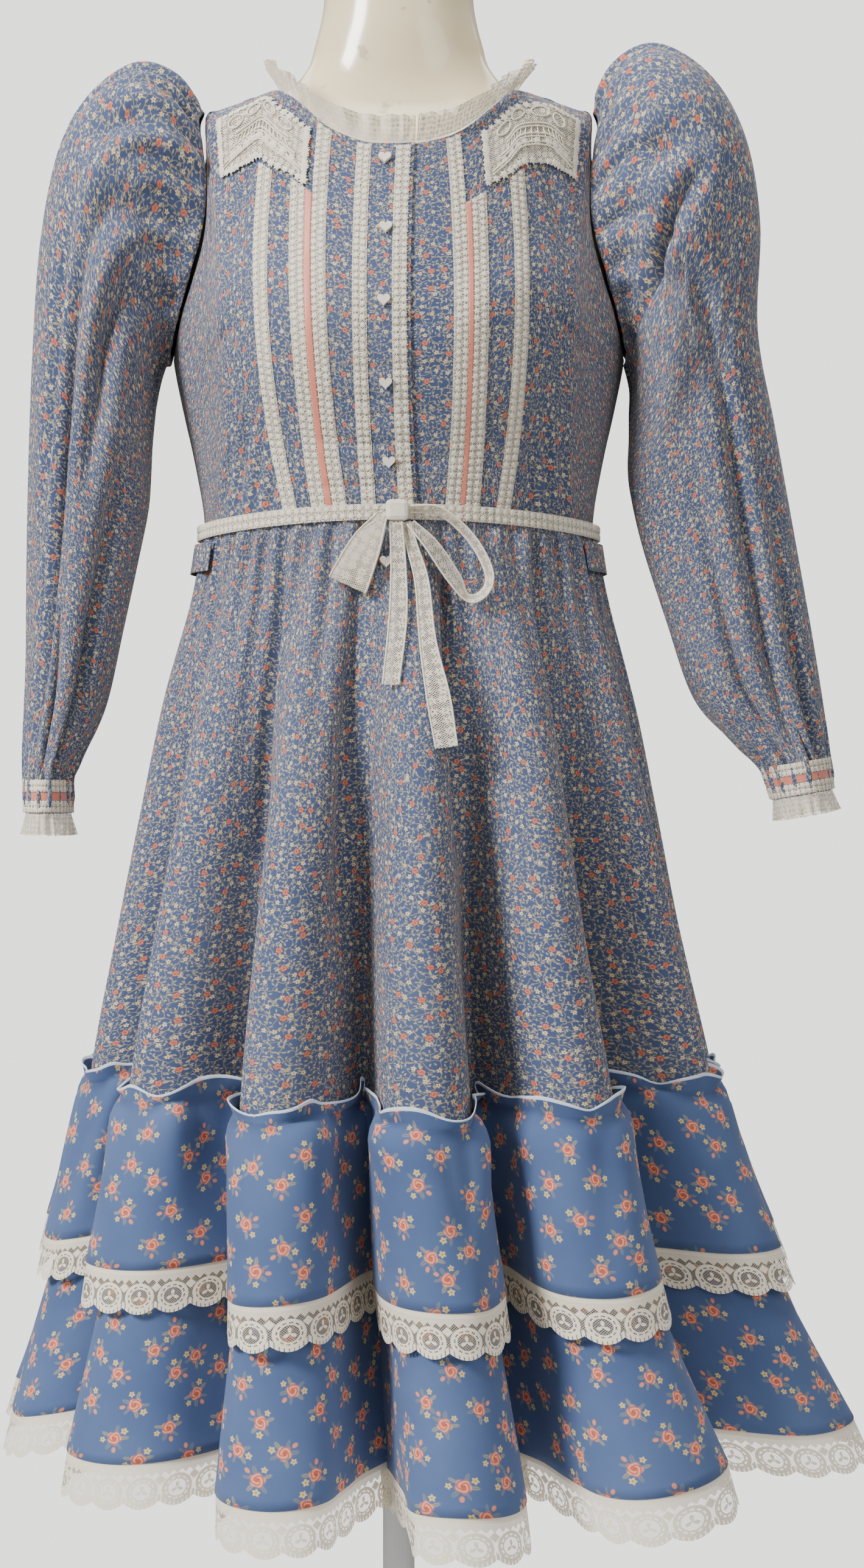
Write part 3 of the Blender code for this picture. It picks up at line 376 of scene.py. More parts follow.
def woven(vector, thread, depth, extra=None):
    """A bump from plain weave: threads that pass over and under, with uneven yarn."""
    phase = 2 * math.pi / (2 * thread)
    u = node("SeparateXYZ", {}, [vector], 0)
    v = node("SeparateXYZ", {}, [vector], 1)
    over = (u * phase).math("SINE") * (v * phase).math("SINE")
    height = over * 0.5 + noise(vector, 900, 3) * 0.9
    if extra is not None:
        height = height + extra
    return node("Bump", {}, {"Strength": 0.35, "Distance": depth, "Height": height})


# %% [markdown]
# ## Calico
# The bodice, sleeves and skirt are a fine cotton with a slate-blue ground, crowded with tan
# sprigs, cream and yellow flowers of 3 mm and coral roses of 5 mm. From two metres it reads as
# a warm grey-blue, so the layers are tuned for that mixture first and for the flowers second.

# %% Calico material
def calico_finish():
    made, shader = start_material("calico")
    vector, u, v = cloth_coordinates()
    bend = noise(vector, 160, 1)
    side = noise(vector, 130, 1)
    wander = node("CombineXYZ", {}, [u + bend * 0.006, v + side * 0.006, 0.0])
    stain = noise(vector, 9, 3)
    ground = colour_mix(stain, srgb(56, 70, 106), srgb(80, 93, 126))

    vine_settings = {"voronoi_dimensions": "2D", "feature": "DISTANCE_TO_EDGE"}
    vine = node("TexVoronoi", vine_settings, {"Vector": wander, "Scale": 1 / 0.0060})
    colour = colour_mix(vine.under(0.045, 0.5) * 0.9, ground, srgb(150, 140, 116))

    leaves = Motif(vector, 0.0030, 0.9)
    leaf = leaves.ellipse(0.0, 0.0, 0.0011, 0.0005, 0)
    tan = colour_mix(leaves.chance, srgb(182, 166, 132), srgb(146, 144, 134))
    colour = colour_mix(leaf * leaves.chance.over(0.15, 0.1), colour, tan)

    small = Motif(vector, 0.0083, 0.85)
    flower = small.flower(0.0013, 5, 0.28) * small.chance.over(0.30, 0.05)
    cream = colour_mix(small.chance, srgb(214, 186, 120), srgb(226, 212, 176))
    colour = colour_mix(flower, colour, cream)
    colour = colour_mix(small.radius().under(0.00045, 0.3) * flower, colour, srgb(160, 96, 62))

    rose = Motif(vector, 0.0165, 0.75)
    halo = rose.flower(0.0027, 5, 0.1)
    colour = colour_mix(halo, colour, srgb(50, 62, 98))
    spray = rose.ellipse(0.0034, 0.0008, 0.0017, 0.0007, 20)
    spray = spray + rose.ellipse(-0.0028, -0.0022, 0.0016, 0.0007, 220)
    colour = colour_mix(spray, colour, srgb(176, 164, 140))
    petals = rose.flower(0.0021, 5, 0.12)
    turn = rose.y.math("ARCTAN2", rose.x)
    swirl = (rose.radius() * 4200 + turn * 2).math("SINE") * 0.5 + 0.5
    blush = colour_mix(swirl, srgb(206, 134, 106), srgb(178, 92, 74))
    blush = colour_mix(rose.radius().under(0.0007, 0.4) * 0.7, blush, srgb(164, 70, 60))
    colour = colour_mix(petals, colour, blush)

    feed(shader, Base_Color=colour, Roughness=0.86, Sheen_Weight=0.12, Sheen_Roughness=0.5)
    feed(shader, Specular_IOR_Level=0.25, Normal=woven(vector, 0.0004, 0.00025))
    return made


CALICO = calico_finish()
print("calico nodes:", len(CALICO.node_tree.nodes))

# %% [markdown]
# ## Rose print
# The ruffles are a brighter, plainer blue with rose sprigs of about 18 mm, set diamond fashion
# nearly 30 mm apart and turned at random: a coral rose, grey leaves, a bud and a yellow flower.

# %% Rose print material
SPRIG_SPACING = 0.0285
RAW_EDGE = 0.0011


def rose_finish(name, raw_top=None):
    """The rose print, with its pale raw edge above raw_top where the cloth is cut."""
    made, shader = start_material(name)
    vector, _, v = cloth_coordinates()
    tilted = node("VectorRotate", {"rotation_type": "Z_AXIS"}, {"Vector": vector, "Angle": math.pi / 4})
    ground = colour_mix(noise(vector, 14, 3), srgb(62, 82, 124), srgb(86, 106, 146))
    sprig = Motif(tilted, SPRIG_SPACING, 0.45)

    colour = ground
    leaves = (
        (0.0062, 0.0028, 0.0030, 0.0014, 25),
        (-0.0058, 0.0034, 0.0031, 0.0013, 150),
        (-0.0049, -0.0049, 0.0028, 0.0012, 225),
        (0.0040, -0.0060, 0.0028, 0.0012, 305),
        (0.0001, 0.0071, 0.0026, 0.0010, 95),
    )
    for number, (x, y, long, short, lie) in enumerate(leaves):
        grey = srgb(138, 138, 128) if number % 2 else srgb(112, 122, 132)
        colour = colour_mix(sprig.ellipse(x, y, long, short, lie), colour, grey)
        vein = sprig.ellipse(x, y, long * 0.9, short * 0.16, lie, 0.6)
        colour = colour_mix(vein * 0.7, colour, srgb(70, 82, 104))
    for x, y, size in ((-0.0082, -0.0008, 0.0021), (0.0078, -0.0032, 0.0018)):
        yellow = sprig.flower(size, 5, 0.22, x, y)
        colour = colour_mix(yellow, colour, srgb(212, 190, 132))
        colour = colour_mix(sprig.radius(x, y).under(size * 0.35, 0.3), colour, srgb(176, 132, 66))
    bud = sprig.ellipse(0.0046, 0.0074, 0.0020, 0.0014, 60)
    colour = colour_mix(bud, colour, srgb(216, 138, 106))

    rose = sprig.flower(0.0046, 5, 0.10)
    turn = sprig.y.math("ARCTAN2", sprig.x)
    rings = (sprig.radius() * 2600 + turn * 2 + (turn * 3).math("SINE") * 0.8).math("SINE") * 0.5 + 0.5
    petal = colour_mix(rings, srgb(232, 166, 134), srgb(196, 92, 74))
    heart = sprig.radius(0.0004, 0.0003).under(0.0015, 0.3)
    petal = colour_mix(heart * 0.75, petal, srgb(172, 66, 54))
    colour = colour_mix(rose, colour, petal)
    if raw_top is not None:
        colour = colour_mix(v.over(raw_top, 0.0004), colour, srgb(206, 214, 226))

    feed(shader, Base_Color=colour, Roughness=0.82, Sheen_Weight=0.1, Sheen_Roughness=0.5)
    feed(shader, Specular_IOR_Level=0.28, Normal=woven(vector, 0.00045, 0.00022))
    return made


# %% [markdown]
# ## Lace
# Machine lace is thread with air between. Four kinds are needed: a fine net for the bow, a
# dense edging for tapes and frills, plain thread for the daisies and cords that are modelled,
# and the hem lace with its fans. Alpha makes the air, and each kind reads the UV map in metres.

# %% Lace materials
IVORY = srgb(238, 230, 212)
IVORY_SHADE = srgb(214, 202, 178)


def net_holes(u, v, pitch):
    """1 on the threads of a net of diamonds of the given pitch, 0 in its holes."""
    first = ((u + v) / pitch).math("FRACT")
    second = ((u - v) / pitch).math("FRACT")
    wide = (first - 0.5).math("ABSOLUTE").math("MINIMUM", (second - 0.5).math("ABSOLUTE"))
    return wide.under(0.16, 0.35)


def finish_lace(shader, colour, alpha, vector):
    threads = node("Bump", {}, {"Strength": 0.5, "Distance": 0.0004, "Height": noise(vector, 1400, 3)})
    feed(shader, Base_Color=colour, Roughness=0.8, Alpha=alpha, Normal=threads)
    feed(shader, Sheen_Weight=0.15, Specular_IOR_Level=0.3, Subsurface_Weight=0.0)


def thread_finish():
    made, shader = start_material("lace_thread")
    place = node("TexCoord", {}, {}, output="Object")
    shade = noise(place, 300, 3, "3D")
    twist = node("Bump", {}, {"Strength": 0.5, "Distance": 0.0003, "Height": noise(place, 2500, 2, "3D")})
    colour = colour_mix(shade, IVORY_SHADE, srgb(246, 240, 226))
    feed(shader, Base_Color=colour, Roughness=0.75, Normal=twist)
    feed(shader, Sheen_Weight=0.2, Specular_IOR_Level=0.3)
    return made


def net_finish(name, pitch, share, flowers):
    """Net of the given pitch. share is how opaque the holes are, and flowers their pitch on it."""
    made, shader = start_material(name)
    vector, u, v = cloth_coordinates()
    threads = net_holes(u, v, pitch)
    motif = Motif(vector, flowers, 0.3)
    worked = motif.flower(flowers * 0.33, 6, 0.3) * motif.radius().over(flowers * 0.1, 0.3)
    solid = threads.math("MAXIMUM", worked)
    colour = colour_mix(noise(vector, 200, 2), IVORY_SHADE, IVORY)
    finish_lace(shader, colour, solid * (1 - share) + share, vector)
    return made


THREAD = thread_finish()
TAPE_NET = net_finish("tape_net", 0.0016, 0.0, 0.0028)
FRILL_NET = net_finish("frill_net", 0.0016, 0.12, 0.0040)
YOKE_NET = net_finish("yoke_net", 0.0020, 0.0, 0.0060)
BOW_NET = net_finish("bow_net", 0.0018, 0.0, 0.0080)

HEM_REPEAT = 0.0226
HEM_DEEP = 0.032


def hem_lace_finish():
    """Hem lace: a spoked ring over each scallop, three small leaves inside it, a solid heading
    along the top and a picot border that follows the scallops."""
    made, shader = start_material("hem_lace")
    vector, u, v = cloth_coordinates()
    x = ((u / HEM_REPEAT).math("FRACT") - 0.5) * HEM_REPEAT
    across = x.math("ABSOLUTE")
    above_edge = v - (x * x * 38 + 0.0002)
    border = above_edge.under(0.0046, 0.1)
    border = border * (((u / 0.0028).math("FRACT") - 0.5).math("ABSOLUTE").over(0.12, 0.4))
    heading = v.over(0.0282, 0.01)
    zigzag = (((u / 0.0056).math("FRACT") - 0.5).math("ABSOLUTE") * 0.006 + 0.0222)
    teeth = (v - zigzag).over(0.0, 0.1) * 0.9
    reach = (x * x + (v - 0.0125) * (v - 0.0125)).math("SQRT")
    ring = (reach - 0.0090).math("ABSOLUTE").under(0.0011, 0.25)
    inner = (reach - 0.0064).math("ABSOLUTE").under(0.0006, 0.3)
    turn = (v - 0.0125).math("ARCTAN2", x)
    spokes = (turn * 12).math("SINE").over(0.35, 0.4) * reach.over(0.0064, 0.02) * reach.under(0.0090, 0.02)
    leaf_turn = (turn * 3 + math.pi / 2).math("COSINE")
    leaves = (reach - leaf_turn * 0.0022).under(0.0021, 0.15)
    corner = (across - HEM_REPEAT / 2).math("ABSOLUTE") + (v - 0.0195).math("ABSOLUTE")
    fill = corner.under(0.0036, 0.2)
    solid = border
    for layer in (heading, teeth, ring, inner, spokes, leaves, fill):
        solid = solid.math("MAXIMUM", layer)
    net = net_holes(u, v, 0.0017) * 0.7
    alpha = solid.math("MAXIMUM", net) * above_edge.math("GREATER_THAN", 0.0)
    colour = colour_mix(solid, srgb(206, 192, 164), srgb(236, 226, 206))
    finish_lace(shader, colour, alpha.math("MINIMUM", 1.0), vector)
    return made


HEM_LACE = hem_lace_finish()
print("hem lace nodes:", len(HEM_LACE.node_tree.nodes))

# %% [markdown]
# ## Ribbon, buttons, form and stand
# Satin is smooth along its float threads, so it gets a low roughness, fine crosswise ribs and a
# sheen. The buttons are ivory plastic, the form a glossy cream shell with a few scuffs, and the
# stand satin painted steel.

# %% Smooth materials
def satin_finish():
    made, shader = start_material("satin_ribbon")
    _, u, v = cloth_coordinates()
    slub = noise(node("CombineXYZ", {}, [u * 4.0, v, 0.0]), 420, 3)
    colour = colour_mix(slub, srgb(196, 104, 86), srgb(232, 146, 122))
    ribs = (v * (2 * math.pi / 0.0008)).math("SINE") * 0.5 + slub
    bump = node("Bump", {}, {"Strength": 0.25, "Distance": 0.0002, "Height": ribs})
    feed(shader, Base_Color=colour, Roughness=slub * 0.15 + 0.28, Normal=bump)
    feed(shader, Sheen_Weight=0.25, Specular_IOR_Level=0.6)
    return made


def button_finish():
    made, shader = start_material("ivory_plastic")
    place = node("TexCoord", {}, {}, output="Object")
    tone = noise(place, 120, 2, "3D")
    feed(shader, Base_Color=colour_mix(tone, srgb(226, 216, 196), srgb(244, 238, 224)))
    feed(shader, Roughness=tone * 0.1 + 0.22, Coat_Weight=0.4, Coat_Roughness=0.15)
    return made


def shell_finish():
    """The form's gloss shell: nearly even cream, with fine dimples and a few grey scuffs."""
    made, shader = start_material("form_shell")
    place = node("TexCoord", {}, {}, output="Object")
    tone = noise(place, 7, 3, "3D")
    scuffs = noise(place, 55, 6, "3D").over(0.69, 0.06)
    cream = colour_mix(tone, srgb(226, 208, 166), srgb(240, 226, 190))
    colour = colour_mix(scuffs * 0.55, cream, srgb(150, 132, 104))
    dimples = node("Bump", {}, {"Strength": 0.05, "Distance": 0.001, "Height": noise(place, 60, 2, "3D")})
    feed(shader, Base_Color=colour, Roughness=scuffs * 0.3 + 0.2, Normal=dimples)
    feed(shader, Coat_Weight=0.35, Coat_Roughness=0.08)
    return made


def steel_finish():
    made, shader = start_material("painted_steel")
    place = node("TexCoord", {}, {}, output="Object")
    grain = noise(place, 400, 4, "3D")
    wear = noise(place, 25, 5, "3D").over(0.66, 0.05)
    colour = colour_mix(wear * 0.5, srgb(202, 202, 198), srgb(150, 148, 142))
    peel = node("Bump", {}, {"Strength": 0.12, "Distance": 0.0004, "Height": grain})
    feed(shader, Base_Color=colour, Roughness=grain * 0.15 + 0.32, Metallic=0.4, Normal=peel)
    return made


SATIN = satin_finish()
IVORY_PLASTIC = button_finish()
SHELL = shell_finish()
STEEL = steel_finish()

# %% [markdown]
# ## Measures of the dress
# These are the levels, the body's rows and the necklines that the solid pieces were cut from.
# Using the same numbers keeps every sheet where its solid is.

# %% Levels, gaps and the body
CLOTH = 0.0012
LACE = 0.0010
SEAM_GAP = 0.0003
ON_PANEL = CLOTH + SEAM_GAP
PLACKET_LIFT = CLOTH + 2 * SEAM_GAP
WAIST_GAP = 0.0008
WAIST_SIDE = 1.0435
WAIST_RISE = 0.0095
WAIST_HALF_WIDTH = 0.1515
WAIST_FRONT = 0.104
WAIST_BACK = 0.100
BUST_LEVEL = 1.190
UNDERARM = 1.182
SHOULDER_TIP = 1.374
FORM_BOTTOM = 0.800
FORM_TOP = 1.490
HEADING_TOP = 0.610
RUFFLE_SEAM = 0.597
UPPER_CLOTH_END = 0.473
UPPER_LACE_END = 0.441
SKIRT_END = 0.500
LOWER_TOP = 0.505
LOWER_CLOTH_END = 0.335
LOWER_LACE_END = 0.303
BODY = table(
    "height half_width front back clear",
    (0.790, 0.160, 0.110, 0.116, 0.000),
    (0.880, 0.168, 0.117, 0.123, 0.000),
    (0.970, 0.157, 0.108, 0.110, 0.004),
    (1.045, WAIST_HALF_WIDTH, WAIST_FRONT, WAIST_BACK, 0.010),
    (1.110, 0.162, 0.115, 0.102, 0.008),
    (1.150, 0.171, 0.125, 0.104, 0.008),
    (1.190, 0.1775, 0.130, 0.105, 0.008),
    (1.240, 0.172, 0.123, 0.105, 0.007),
    (1.290, 0.161, 0.107, 0.101, 0.0045),
    (1.335, 0.1585, 0.090, 0.092, 0.0055),
    (1.360, 0.157, 0.078, 0.080, 0.009),
    (1.374, 0.152, 0.069, 0.072, 0.0096),
    (1.385, 0.124, 0.064, 0.066, 0.0087),
    (1.3965, 0.094, 0.060, 0.062, 0.0066),
    (1.410, 0.076, 0.057, 0.058, 0.003),
    (1.430, 0.066, 0.055, 0.055, 0.000),
    (1.455, 0.060, 0.054, 0.053, 0.000),
    (FORM_TOP, 0.058, 0.053, 0.052, 0.000),
)
CUP_OUT = 0.009
CUP_SIDE = 0.082
CUP_WIDTH = 0.048
CUP_HEIGHT = 0.042
FRONT_NECK = table(
    "out height",
    (0.000, 1.335), (0.026, 1.338), (0.052, 1.350), (0.076, 1.373), (0.0885, 1.385), (0.094, 1.3965),
)
BACK_NECK = table(
    "out height",
    (0.000, 1.378), (0.030, 1.3795), (0.060, 1.385), (0.082, 1.391), (0.094, 1.3965),
)
ARMHOLE_FRONT_TURN = math.radians(24)
ARMHOLE_BACK_TURN = math.radians(20)
ARMHOLE_ROUNDNESS = 0.8
THIN = 0.0008


def front_side(angle):
    return np.cos(angle) > 0


def waist_seam(angle):
    return WAIST_SIDE + WAIST_RISE * np.maximum(np.cos(angle), 0) ** 2


def body_point(angle, height):
    """A point of the dress's bodice surface, by angle from the middle front and by height."""
    angle, height = np.broadcast_arrays(np.asarray(angle, float), np.asarray(height, float))
    width = smooth(BODY, "half_width", height)
    depth = np.where(front_side(angle), smooth(BODY, "front", height), smooth(BODY, "back", height))
    x = width * np.sin(angle)
    cup = np.exp(-(((np.abs(x) - CUP_SIDE) / CUP_WIDTH) ** 2) - ((height - BUST_LEVEL) / CUP_HEIGHT) ** 2)
    y = -depth * np.cos(angle) - np.where(front_side(angle), CUP_OUT * cup * np.cos(angle), 0)
    return np.stack([x, y, height], axis=-1)

# %% [markdown]
# ## The form
# The form is one smooth shell, a little inside the bodice, closed at its neck and its base.

# %% Make the form
def build_form():
    heights = np.linspace(FORM_BOTTOM, FORM_TOP, 120)
    angles = np.linspace(0, 2 * np.pi, 120, endpoint=False)
    grid = body_point(angles[None, :], heights[:, None])
    grid = moved_out(grid, -smooth(BODY, "clear", heights)[:, None] * np.ones((1, 120)), wrap=True)
    shrink = 1 - 0.06 * np.clip((heights - (FORM_TOP - 0.004)) / 0.004, 0, 1) ** 2
    grid[..., :2] *= shrink[:, None, None]
    made = sheet_piece("form_shell", grid, SHELL, measured(grid, True), wrap=True)
    bpy.ops.object.select_all(action="DESELECT")
    bpy.context.view_layer.objects.active = made
    made.select_set(True)
    bpy.ops.object.mode_set(mode="EDIT")
    bpy.ops.mesh.select_all(action="DESELECT")
    bpy.ops.mesh.select_non_manifold()
    bpy.ops.mesh.edge_face_add()
    bpy.ops.mesh.select_all(action="SELECT")
    bpy.ops.mesh.fill_holes(sides=0)
    bpy.ops.mesh.normals_make_consistent(inside=False)
    bpy.ops.object.mode_set(mode="OBJECT")
    made.data.set_sharp_from_angle(angle=math.radians(40))
    dress_with(made, "form_shell", "dress_form")


build_form()

# %% [markdown]
# The stand and the buttons are hard, so they keep their solids. Only their finish is new.

# %% Give the stand and buttons their materials
for name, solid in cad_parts.items():
    if name.startswith(("stand_", "button_", "bow_knot")):
        finish = STEEL if name.startswith("stand_") else IVORY_PLASTIC
        solid.data.materials.clear()
        solid.data.materials.append(THREAD if name == "bow_knot" else finish)

# %% [markdown]
# ## Gathers and creases
# A gather starts at a seam, where the cloth is drawn up, and dies away along it. No two are
# alike, so each takes its own place, width, depth and length from a seeded generator. The main
# creases are laid one by one, each from one place to another with its own width and depth.

# %% Gather and crease tools
def gathers(across, along, count, seed, width, depth, reach, period=1.0):
    """How far seeded ridges and troughs move the cloth. along is the distance from their seam."""
    chance = np.random.default_rng(seed)
    step = period / count
    total = np.zeros(np.broadcast(across, along).shape)
    for number in range(count):
        place = (number + chance.uniform(-0.35, 0.35)) * step
        drift = chance.normal(0, 0.35) * step
        wide = step * width * chance.uniform(0.6, 1.5)
        high = depth * chance.uniform(0.3, 1.0) * (1 if number % 2 else -1)
        long = reach * chance.uniform(0.35, 1.6)
        away = (across - place - drift * along / reach + period / 2) % period - period / 2
        total += high * np.exp(-((away / wide) ** 2) - (along / long) ** 2)
    return total


def crease(first, second, start, end, width, depth):
    """One soft trough between two places of a surface, given its two coordinates."""
    run = np.array(end) - np.array(start)
    length = np.hypot(*run)
    along = ((first - start[0]) * run[0] + (second - start[1]) * run[1]) / length
    beside = (-(first - start[0]) * run[1] + (second - start[1]) * run[0]) / length
    share = np.clip(along / length, 0, 1)
    return -depth * np.exp(-((beside / width) ** 2)) * np.sin(np.pi * share) ** 0.8


def creased(grid, rows, wrap=False):
    """The grid with creases given by x and height at both ends, a width and a depth."""
    moved = np.zeros(grid.shape[:2])
    for x_start, z_start, x_end, z_end, width, depth in rows:
        moved += crease(grid[..., 0], grid[..., 2], (x_start, z_start), (x_end, z_end), width, depth)
    return moved_out(grid, moved, wrap)

# %% [markdown]
# ## The bodice
# A bodice panel is drawn as columns from the waist to the neck, the shoulder or the armhole. The
# tapes lie between columns of the same panel, so they follow every curve of the cloth below.

# %% Panel columns and tapes
TAPE_WIDTH = 0.011
TAPES = (
    ("lace_strip_outer_left", -0.0935, -0.1013, -0.0800),
    ("lace_strip_ribbon_left_a", -0.0720, -0.0740, -0.0585),
    ("lace_strip_ribbon_left_b", -0.0553, -0.0577, -0.0424),
    ("lace_strip_inner_left", -0.0250, -0.0280, -0.0210),
    ("lace_strip_placket", 0.0047, 0.0018, 0.0070),
    ("lace_strip_ribbon_right_a", 0.0420, 0.0480, 0.0410),
    ("lace_strip_ribbon_right_b", 0.0580, 0.0630, 0.0560),
    ("lace_strip_outer_right", 0.0837, 0.0930, 0.0790),
)
TAPES_LEFT = 5
TAPES_TO_YOKE = (0, 1, 6, 7)
PLACKET_EDGE = 0.0030
UNDERLAP = 0.001 - TAPE_WIDTH / 2
PANEL_ROWS = np.array([0.0, 0.17, 0.34, 0.50, 0.65, 0.80, 0.88, 0.95, 1.0])
YOKE_ROW = 5
YOKE_COLUMN = 5
YOKE_OUT = ON_PANEL + LACE - SEAM_GAP / 2
YOKE_DRAWN_UP = 0.10
TAPE_DRAWN_BACK = 0.15
SHOULDER_COLUMNS = (
    (0.0960, 0.1130, 0.1120),
    (0.1110, 0.1200, 0.1270),
    (0.1225, 0.1270, 0.1405),
    (0.1320, 0.1330, 0.1512),
)
ARMHOLE_COLUMNS = (
    (0.25, 0.1385, 0.1375, 0.0),
    (0.50, 0.1440, 0.1460, 0.0),
    (0.75, 0.1485, None, 0.5),
    (1.00, WAIST_HALF_WIDTH, None, 1.0),
)
BACK_COLUMNS = ((0.000, 0.000), (0.030, 0.030), (0.060, 0.060), (0.083, 0.086))


def panel_column(foot, middle, top_x, top_height, side_share, front):
    """Points of one column, from the waist to the neck, shoulder or armhole."""
    sign = 1 if foot + top_x >= 0 else -1
    foot_level = WAIST_SIDE + (WAIST_RISE * (1 - (foot / WAIST_HALF_WIDTH) ** 2) if front else 0)
    heights = foot_level + (top_height - foot_level) * PANEL_ROWS
    width = smooth(BODY, "half_width", heights)
    if middle is None:
        x = foot + (top_x - foot) * PANEL_ROWS
    else:
        bust_share = (BUST_LEVEL - foot_level) / (top_height - foot_level)
        x = np.array([
            foot * (v - bust_share) * (v - 1) / bust_share
            + middle * v * (v - 1) / (bust_share * (bust_share - 1))
            + top_x * v * (v - bust_share) / (1 - bust_share)
            for v in PANEL_ROWS
        ])
    straight = np.clip(x * sign / width, -1, 1)
    foot_share = abs(foot) / width[0]
    top_share = min(1.0, abs(top_x) / width[-1])
    along = foot_share + (top_share - foot_share) * PANEL_ROWS
    turn = np.arcsin(np.clip(straight * (1 - side_share) + along * side_share, -1, 1))
    angle = sign * (turn if front else math.pi - turn)
    return body_point(angle, heights)


def neck_height(out, front):
    return float(smooth(FRONT_NECK if front else BACK_NECK, "height", abs(out), key="out"))


def shoulder_height(out):
    heights = np.linspace(SHOULDER_TIP - 0.002, FRONT_NECK["height"][-1], 60)
    widths = smooth(BODY, "half_width", heights)
    return float(np.interp(-abs(out), -widths, heights))


def armhole(share, front):
    """Angle past the side and height of the armhole's edge, from the shoulder to the underarm."""
    turn = ARMHOLE_FRONT_TURN if front else ARMHOLE_BACK_TURN
    middle = (SHOULDER_TIP + UNDERARM) / 2
    reach = (SHOULDER_TIP - UNDERARM) / 2
    dip = np.maximum(np.sin(np.pi * np.asarray(share, float)), 0) ** ARMHOLE_ROUNDNESS
    return turn * dip, middle + reach * np.cos(np.pi * np.asarray(share, float))


def top_of(out, front):
    if abs(out) <= FRONT_NECK["out"][-1]:
        return neck_height(out, front)
    return shoulder_height(out)


def side_columns(sign, front):
    """The columns from the shoulder to the side seam."""
    made = [
        panel_column(sign * foot, sign * middle, sign * top, shoulder_height(top), 0.0, front)
        for foot, middle, top in SHOULDER_COLUMNS
    ]
    for share, foot, middle, side_share in ARMHOLE_COLUMNS:
        turn, height = armhole(share, front)
        top_x = float(smooth(BODY, "half_width", height)) * math.cos(float(turn))
        bust = None if middle is None else sign * middle
        made.append(panel_column(sign * foot, bust, sign * top_x, float(height), side_share, front))
    return made


def kept_from_seam(grid, front):
    """The panel with its edges at the side and shoulder drawn back from the seam."""
    held = grid.copy()
    back_off = 1.5 * SEAM_GAP
    held[..., 1] = np.minimum(held[..., 1], -back_off) if front else np.maximum(held[..., 1], back_off)
    return held


def tape_column(tape, shift):
    """The panel's column at a distance to the side of a tape's middle."""
    _, top, middle, foot = tape
    return panel_column(foot + shift, middle + shift, top + shift, top_of(top + shift, True), 0.0, True)


def tape_edges(tape):
    return [tape_column(tape, -TAPE_WIDTH / 2), tape_column(tape, TAPE_WIDTH / 2)]


def front_left_grid():
    """The half that laps over: its columns run from the side seam to the placket edge."""
    columns = side_columns(-1, True)[::-1]
    for tape in TAPES[:TAPES_LEFT]:
        columns += tape_edges(tape)
    columns.append(tape_column(TAPES[TAPES_LEFT - 1], TAPE_WIDTH / 2 + PLACKET_EDGE))
    grid = kept_from_seam(np.stack(columns, axis=1), True)
    lift = np.zeros(grid.shape[1])
    lift[-3:] = PLACKET_LIFT
    return grid + grid_normals(grid, False) * lift[None, :, None]


def front_right_grid():
    """The half that is lapped over, from just past the placket tape's inner edge to the side."""
    placket = TAPES[TAPES_LEFT - 1]
    columns = [tape_column(placket, UNDERLAP), tape_column(placket, TAPE_WIDTH / 2 + 2 * PLACKET_EDGE)]
    for tape in TAPES[TAPES_LEFT:]:
        columns += tape_edges(tape)
    columns += side_columns(1, True)
    return kept_from_seam(np.stack(columns, axis=1), True)


def back_grid():
    half = [panel_column(foot, None, top, neck_height(top, False), 0.0, False) for foot, top in BACK_COLUMNS]
    half += side_columns(1, False)
    mirrored = [column * np.array([-1.0, 1.0, 1.0]) for column in half[1:]]
    # From +X across the back to -X, which keeps the columns turning the same way as in front
    return kept_from_seam(np.stack(half[::-1] + mirrored, axis=1), False)

# %% [markdown]
# Puckers run level from button to button where the placket pulls, and soft gathers climb from
# the waist seam under the bust. Both are listed: start, end, width and depth in metres.

# %% Lay the bodice panels
BODICE_CREASES = (
    (-0.060, 1.139, 0.026, 1.133, 0.0034, 0.0025),
    (-0.048, 1.124, 0.036, 1.128, 0.0030, 0.0022),
    (-0.070, 1.108, 0.020, 1.103, 0.0036, 0.0026),
    (-0.040, 1.090, 0.052, 1.094, 0.0030, 0.0023),
    (-0.062, 1.073, 0.014, 1.077, 0.0032, 0.0022),
    (-0.030, 1.163, 0.040, 1.158, 0.0034, 0.0017),
    (-0.014, 1.190, 0.034, 1.196, 0.0040, 0.0016),
    (-0.126, 1.050, -0.112, 1.135, 0.0046, 0.0040),
    (-0.111, 1.048, -0.104, 1.110, 0.0040, 0.0034),
    (-0.138, 1.050, -0.126, 1.112, 0.0042, 0.0034),
    (-0.098, 1.048, -0.095, 1.090, 0.0036, 0.0028),
    (0.104, 1.048, 0.100, 1.122, 0.0040, 0.0037),
    (0.117, 1.050, 0.112, 1.140, 0.0046, 0.0043),
    (0.129, 1.050, 0.126, 1.118, 0.0040, 0.0037),
    (0.140, 1.052, 0.139, 1.100, 0.0036, 0.0031),
    (-0.110, 1.335, -0.132, 1.245, 0.0070, 0.0034),
    (0.108, 1.338, 0.133, 1.250, 0.0070, 0.0034),
    (-0.122, 1.205, -0.148, 1.165, 0.0060, 0.0034),
    (0.121, 1.208, 0.150, 1.168, 0.0060, 0.0034),
    (-0.040, 1.325, -0.062, 1.285, 0.0060, 0.0016),
)
